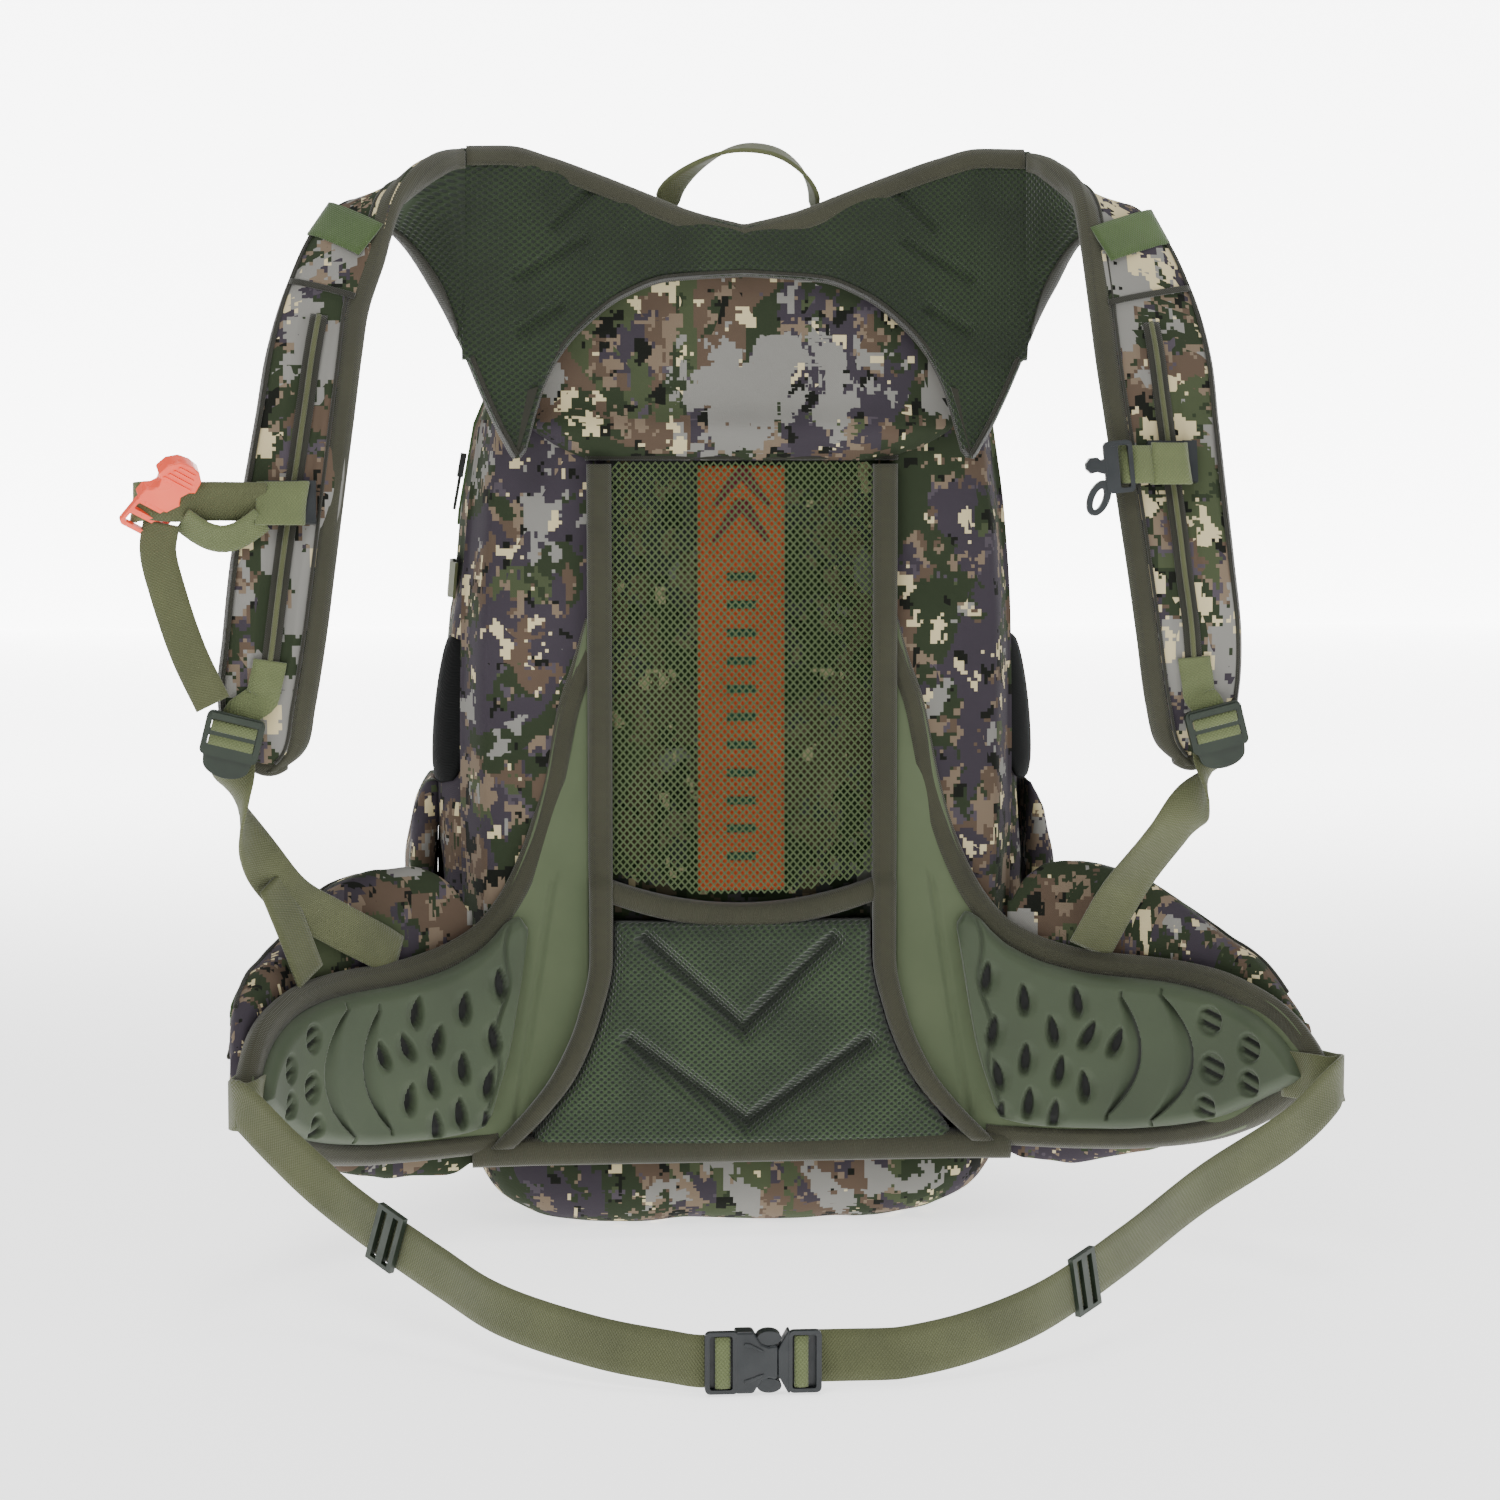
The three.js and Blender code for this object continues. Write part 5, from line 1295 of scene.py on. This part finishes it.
# ---------------------------------------------------------------- webbing
def build_lower_strap(end):
    side = SIDE[end]
    foot_s, foot_z = {"left": (108, 168.5), "right": (95, 160)}[end]
    foot = wing_point(end, foot_s, -1.5, foot_z)
    if end == "left":
        foot_way = np.array((0.1, 0, -1.0))
        path = [(-273, -235.6, 283), (-271, -229, 262), (-265, -212, 236), (-247, -186, 204), (-222, -161, 184),
                foot, foot + np.array((10, 11, -7.5))]
    else:
        foot_way = wing_point(end, foot_s + 5, 0, 0) - wing_point(end, foot_s - 5, 0, 0)
        path = [(237, -235.6, 283), (233, -229, 262), (219, -200, 232), (204, -160, 198), foot]
    level = unit(np.array((side, 0, 0.3)))
    end_way = unit(foot_way)
    # Half a turn: flat at the lock, edge on a little below it, flat again on the way to the wing.
    across = []
    for k in range(81):
        turn = math.pi * step01(k / 80 / 0.5)
        lying = level * (1 - k / 80) + end_way * (k / 80)
        across.append(lying * math.cos(turn) + np.array((0, 0.97, 0.25)) * math.sin(turn))
    ribbon("lower_web_" + end, spline(path, 80), across, 24, 1.7, "webbing", "pack", ["lower_strap_" + end])
    if end == "left":
        way = wing_point(end, 165, 0, 162) - wing_point(end, 155, 0, 162)
        leg = spline([(-254, -197, 213), (-247, -187, 192), wing_point(end, 160, -1.5, 158)], 24)
        ribbon("lower_web_leg", leg, way, 24, 1.7, "webbing", "pack")


BELT = {
    "left": [[-270, -270, 108], [-246, -290, 88], [-218, -310, 66], [-168, -360, 40], [-141, -390, 29],
             [-95, -422, 20], [-62, -436, 16.2]],
    "right": [[301, -250, 106], [275, -268, 87], [216, -308, 63], [165, -361, 44], [115, -408, 28],
              [76, -428, 19.5], [46, -436.4, 15.8]]}
BELT_FLAT_Y = {"left": -441.6, "right": -436.4}


def build_belt(end):
    first = [wing_point(end, s, WING_HALF_T + 1.8, 105) for s in (224, 238, 250)]
    first.append(wing_point(end, 257, 4.5, 106))
    xs = (-50, -31.5) if end == "left" else (40, 20, -5)
    last = [(x, BELT_FLAT_Y[end], 15.4) for x in xs]
    ribbon("belt_web_" + end, spline(first + BELT[end] + last, 160), (0, 0, 1), 25, 1.7, "webbing", "pack",
           ["belt_webbing_" + end])
    # The sewn fold where the webbing comes over the tip of the wing.
    flap = [wing_point(end, s, -WING_HALF_T - 2.2, 105 - (236 - s) * 0.05) for s in (222, 236, 250)]
    flap += [wing_point(end, 256, -3, 105), wing_point(end, 258.5, 2.5, 106)]
    ribbon("belt_fold_" + end, spline(flap, 24), (0, 0, 1), 25, 1.7, "webbing", "pack")


# ---------------------------------------------------------------- buckles
def frame_axes(x_axis, z_axis):
    x = unit(x_axis)
    z = np.asarray(z_axis, float)
    z = unit(z - x * (z @ x))
    return x, np.cross(z, x), z


def plate(name, loops, depth, at, axes, material, body, replaces=(), bevel=0.8):
    """Flat moulded part: outline and holes in its own x and z, between two depths along its y."""
    x, y, z = axes
    triangles = tessellate_polygon([[Vector((a, b, 0)) for a, b in loop] for loop in loops])
    points = [p for loop in loops for p in loop]
    count = len(points)
    verts = [np.asarray(at) + x * a + z * b + y * d for d in depth for a, b in points]
    faces = [tuple(t) for t in triangles] + [tuple(count + k for k in reversed(t)) for t in triangles]
    start = 0
    for loop in loops:
        n = len(loop)
        for k in range(n):
            a, b = start + k, start + (k + 1) % n
            faces.append((a, b, count + b, count + a))
        start += n
    made = make(name, verts, faces, [material], body, replaces, smooth=False)
    modify(made, "BEVEL", width=bevel * MM, segments=3, limit_method="ANGLE", angle_limit=math.radians(38))
    modify(made, "WEIGHTED_NORMAL")


def oval(cx, cz, rx, rz, turn=0.0, count=24):
    c, q = math.cos(math.radians(turn)), math.sin(math.radians(turn))
    out = []
    for k in range(count):
        a = 2 * math.pi * k / count
        u, w = rx * math.cos(a), rz * math.sin(a)
        out.append((cx + u * c - w * q, cz + u * q + w * c))
    return out


def rounded(x0, x1, z0, z1, r):
    return round_corners(x0, x1, z0, z1, r, 4)


def mirrored(half):
    """Outline that is the same above and below its own x axis, from its upper half."""
    return half + [(a, -b) for a, b in reversed(half)]


def web_patch(name, x0, x1, half, y, thick, at, axes, body):
    """Short stretch of webbing seen on a buckle, slightly bowed towards the viewer."""
    x, out, z = axes
    points = [np.asarray(at) + x * (x0 + (x1 - x0) * f) + out * (y - 0.8 * math.sin(math.pi * f))
              for f in np.linspace(0, 1, 9)]
    ribbon(name, points, z, 2 * half, thick, "webbing_pale", body, step=1.0)


def build_waist_buckle():
    at = (-20, -442, 15.4)
    axes = frame_axes((1, 0, 0), (0, 0, 1))

    def part(name, loops, depth, body, replaces=(), bevel=0.8):
        plate(name, loops, depth, at, axes, "plastic", body, replaces, bevel=bevel)

    # Each end is a frame with a window, a dark plate behind it as the frame's back, which also stands in for the
    # shade seen through the gaps, and the webbing seen through the window.
    left = [rounded(-27.3, -11.5, -14.7, 14.7, 2.5), rounded(-25, -14.4, -12.7, 12.7, 1.2)]
    part("waist_frame_left", left, (-5.4, -1.6), "pack", ["belt_buckle_female"])
    part("waist_shade_back_left", [rounded(-26, -12, -13.8, 13.8, 2)], (-1.7, -0.6), "pack", bevel=0.2)
    web_patch("waist_web_left", -22.2, -15.6, 12.4, -3.6, 1.8, at, axes, "pack")
    # Body with the two hollows for the squeezed grips.
    top = [(-13, 14.7), (-4.6, 14.7), (-3.2, 12.2), (-1.0, 9.0), (2.5, 7.6), (6.4, 8.4), (6.8, 6.5)]
    part("waist_body", [mirrored(top)], (-5.6, 5.2), "pack", bevel=1.2)
    ridge = [(-9, 9.6), (-6, 9.2), (-1, 6.6), (0.5, 5.2), (-1.5, 5.4), (-6, 7.2), (-9, 8.0)]
    for side in (-1, 1):
        shape = [(a, side * b) for a, b in ridge]
        part("waist_ridge_%d" % (side + 1), [shape], (-6.3, -5.2), "pack", bevel=0.4)
    for name, side in (("upper", 1), ("lower", -1)):
        prong = "prong_" + name
        grip = oval(2.8, side * 11.2, 5.8, 3.4)
        part("waist_grip_" + name, [grip], (-4.6, 3.6), prong, ["buckle_" + prong], bevel=1.0)
        arm = [(10, side * 5.6), (10, side * 8.4), (2, side * 9.4), (-4, side * 9.0), (-4, side * 6.4)]
        part("waist_arm_" + name, [arm], (-2.4, 2.4), prong, bevel=0.4)
    neck = [(7.0, 6.4), (8.6, 9.4), (11.6, 14.7), (12.6, 14.7)]
    part("waist_male_neck", [mirrored(neck)], (-5.2, 3.0), "belt_male", ["belt_buckle_male"], bevel=0.9)
    part("waist_tongue", [rounded(-4, 8, -1.6, 1.6, 0.6)], (-1.4, 1.4), "belt_male", bevel=0.3)
    right = [rounded(11.8, 27.3, -14.7, 14.7, 2.5), rounded(13.6, 24.8, -12.7, 12.7, 1.2)]
    part("waist_frame_right", right, (-5.4, -1.6), "belt_male")
    # The dark back plate also stands in for the shade seen through the frame's gaps.
    part("waist_shade_back_right", [rounded(12.4, 26, -13.8, 13.8, 2)], (-1.7, -0.6), "belt_male", bevel=0.2)
    web_patch("waist_web_right", 14.8, 20.8, 12.4, -3.6, 1.8, at, axes, "belt_male")


LOCK_AT = {"left": (-272, -241, 290), "right": (236, -241, 291)}


def build_lock(end):
    side = SIDE[end]
    axes = frame_axes((side * 0.25, 0, -1), (1, 0, side * 0.3))
    at = LOCK_AT[end]
    body = "lock_" + end
    loops = [rounded(-13, 10, -15, 15, 3), rounded(-8.2, -3.2, -12, 12, 1), rounded(-0.6, 4.4, -12, 12, 1)]
    plate("lock_plate_" + end, loops, (-3.4, 1.0), at, axes, "lock", body, ["ladder_lock_" + end], bevel=1.0)
    lobe = [(13 + 7.0 * math.cos(a), 12 * math.sin(a)) for a in np.linspace(-1.5, 1.5, 14)]
    lobe = [(8.0, -13.0)] + lobe + [(8.0, 13.0)]
    plate("lock_lobe_" + end, [lobe], (-1.4, 1.8), at, axes, "lock", body, bevel=0.9)
    bar = rounded(-12, -9, -13.2, 13.2, 1)
    plate("lock_bar_" + end, [bar], (-5.0, -3.0), at, axes, "lock", body, bevel=0.7)
    web_patch("lock_web_a_" + end, -8.4, -2.8, 11.6, -2.6, 1.6, at, axes, body)
    web_patch("lock_web_b_" + end, -0.8, 4.8, 11.6, -2.4, 1.6, at, axes, body)
    # Tab sewn to the pad, folded once on its way to the lock.
    one, way, out = strap_frame(end, 0.80, 0.5)
    top = one + out * 7.6
    fold = strap_frame(end, 0.84, 0.53)[0] + out * 8.2
    low = np.array(at) + np.array((-side * 4, 3.6, 13))
    last = np.array(at) + np.array((-side * 2, 3.2, 5))
    ribbon("tab_web_" + end, [top - way * 3, top, (top + fold) / 2 + out * 1.2, fold, low, last],
           unit((1, 0, side * 0.3)), 17, 1.6, "webbing_pale", "pack", ["strap_tab_" + end], step=1.5)


def sternum_start(end, share):
    """Where a sternum slider sits on its rail, the y of its webbing, and the way down the strap."""
    point, way, out = strap_frame(end, share)
    point = point + out * (PAD_HALF_T + 4.9)
    return point, point[1] - 4.4, -way if way[2] < 0 else way


def build_sternum_left():
    body = "sternum_set_left"
    f, y, drop = sternum_start("left", 0.633)
    loop = [(f[0] + dx, y - dy, f[2]) for dx, dy in
            ((7, -4.5), (7.4, -1), (5, 1.4), (-3, 2.0), (-11, 1.8), (-17, 1.0))]
    ribbon("sternum_loop_left", loop, drop, 22.5, 1.8, "webbing_pale", body, ["sternum_web_left"], step=1.2)
    web = [(f[0] - 12, y + 0.4, f[2] + 0.5), (f[0] - 22, y - 0.6, f[2] + 0.8), (-286, y - 2.0, f[2] + 1),
           (-300, y - 3.4, f[2] + 0.5), (-311, y - 3.2, f[2] + 1.5)]
    ribbon("sternum_cross_left", spline(web, 24), (0.12, -0.15, 1.0), 20, 1.7, "webbing", body, step=1.5)
    droop = []
    for k in np.linspace(0, 1, 12):
        sag = math.sin(math.pi * k)
        droop.append((f[0] - 14 - 40 * k, y - 1.6 - 1.2 * sag, f[2] - 8 - 10 * sag))
    ribbon("sternum_droop_left", droop, (0, -0.45, 1.0), 15, 1.6, "webbing_pale", body, step=1.5)
    axes = frame_axes((0.62, -0.3, 0.72), (-0.62, -0.55, 0.55))

    def part(name, loops, depth, bevel, replaces=()):
        plate(name, loops, depth, (-304, -243, 416), axes, "whistle", body, replaces, bevel)

    loops = [rounded(-25, -7, -11.5, 11.5, 2.4), rounded(-22.5, -17, -9.6, 9.6, 1),
             rounded(-14, -10, -9.6, 9.6, 1)]
    part("whistle_frame", loops, (-4.6, -1.2), 0.9, ["sternum_buckle_female"])
    top = [(-8, 11.8), (-2, 11.8), (0, 8.6), (3.5, 6.8), (7, 8.4), (9, 11.8), (16, 10.4), (20, 6.0), (21, 0)]
    part("whistle_body", [top + [(a, -b) for a, b in reversed(top[:-1])]], (-5.2, 3.6), 1.2)
    for k in range(4):
        x0 = 8.4 + 2.8 * k
        half = 8.6 - 1.2 * k
        part("whistle_rib_%d" % k, [rounded(x0, x0 + 1.3, -half, half, 0.6)], (-6.0, -5.0), 0.4)
    loop = [(-311, y - 3.0, f[2] + 1.5), (-317, y - 2.6, f[2] + 1), (-319.6, y + 0.4, f[2] + 0.5),
            (-317, y + 3.0, f[2])]
    ribbon("sternum_end_loop", spline(loop, 14), (0.1, -0.1, 1.0), 20, 1.7, "webbing_pale", body, step=1.2)
    tail = [(-306, -240, 400), (-308, -239, 386), (-303, -240, 364), (-293, -243, 334), (-281, -246, 308.5)]
    ribbon("sternum_tail", spline(tail, 40), (0.93, -0.2, 0.28), 19, 1.7, "webbing", body,
           ["sternum_tail_left"], step=1.5)


def build_sternum_right():
    body = "sternum_set_right"
    f, y, drop = sternum_start("right", 0.585)
    loop = [(f[0] + dx, y - dy, f[2]) for dx, dy in
            ((7.4, -4.5), (7.6, -1), (6, 1.2), (-2, 1.8), (-10, 1.2), (-11.4, -1.5))]
    ribbon("sternum_loop_right", loop, drop, 22, 1.8, "webbing_pale", body, ["sternum_web_right"], step=1.2)
    web = [(f[0] + dx, y - dy, f[2] - 0.4) for dx, dy in
           ((-10, -1.0), (-13, 1.0), (-19, 2.4), (-25, 2.0), (-27.5, 0.4), (-27.8, -2.6))]
    ribbon("sternum_cross_right", web, drop, 20, 1.8, "webbing_pale", body, step=1.2)
    axes = frame_axes((1, 0, 0.1), (-0.1, 0, 1))
    at = (f[0] - 33, y - 2.6, f[2] - 2)
    frame_loops = [rounded(-4, 11, -13.5, 13.5, 2.6), rounded(3.4, 8.6, -11, 11, 1)]
    knob = [(-3, 5.2), (-6, 4.2), (-7.5, 6.0), (-11.5, 6.0), (-13.8, 3.4), (-13.8, 0.4), (-11.5, -2.2),
            (-8.0, -1.6), (-6.0, -2.6), (-3, -3.4)]
    hoop = [oval(-8.4, -15.0, 5.6, 9.8, -28), oval(-8.8, -15.6, 2.3, 5.8, -28)]
    for name, loops, depth, bevel, node in (
            ("hook_frame", frame_loops, (-2.6, 1.4), 1.0, ["sternum_buckle_male"]),
            ("hook_knob", [knob], (-2.8, 2.4), 1.2, ()),
            ("hook_loop", hoop, (-2.2, 1.8), 0.9, ())):
        plate(name, loops, depth, at, axes, "plastic", body, node, bevel=bevel)


def build_handle():
    path = [(-43, -99, 566), (-37, -99, 578), (-25, -99, 589), (-9, -99, 597.5), (5, -99, 600),
            (21, -99, 597), (33, -99, 588), (39, -99, 578), (41, -99, 566)]
    share = np.linspace(0, 1, 61)[:, None]
    across = (1 - share) * np.array([[0.95, 0.45, 0.3]]) + share * np.array([[-0.25, 0.95, 0.1]])
    width = 17 - 11 * (1 - step01(np.minimum(share, 1 - share)[:, 0] / 0.07))
    ribbon("handle_web", spline(path, 60), across, width, 2.2, "webbing", "handle", ["top_handle"])
    for k, x in enumerate((-43, 41)):
        root = [(x, -99, 546), (x, -99, 555), (x, -99, 562)]
        ribbon("handle_root_%d" % k, root, (0, 1, 0), 6, 2.6, "webbing", "pack")


# Material and edge rounding of the nodes that keep their model shape; * stands for left and right.
NODE_LOOKS = {
    "frame_sheet": ("sheet", 0.0), "stay_*": ("metal", 0.5), "sternum_slider_*": ("plastic", 1.0),
    "belt_triglide_*": ("lock", 0.8), "main_zip": ("zip_green", 0.4), "front_zip": ("zip", 0.4),
    "main_zip_slider_*": ("teeth", 0.6), "front_zip_slider": ("teeth", 0.6),
    "compression_strap_*": ("webbing", 0.4), "vent_strip": ("orange", 0.0)}


def finish_nodes():
    """Hard parts keep their model shape, with soft edges and their own material."""
    for pattern, (material, width) in NODE_LOOKS.items():
        for name in sorted({pattern.replace("*", end) for end in SIDE}):
            target = NODES[name]
            if not target.material_slots:
                target.data.materials.append(MAT[material])
            for place in target.material_slots:
                place.link = "OBJECT"
                place.material = MAT[material]
            if width:
                modify(target, "BEVEL", width=width * MM, segments=3, limit_method="ANGLE",
                       angle_limit=math.radians(40))


build_yoke()
build_waist_buckle()
build_sternum_left()
build_sternum_right()
for part_end in SIDE:
    build_lock(part_end)
    build_strap(part_end)
    build_column(part_end)
    build_wing(part_end)
    build_hip_pad(part_end)
    build_hip_pocket(part_end)
    build_lower_strap(part_end)
    build_belt(part_end)
build_hood()
build_back_panel()
threads = build_net()
build_net_binding()
build_lumbar()
build_bags()
build_handle()
finish_nodes()
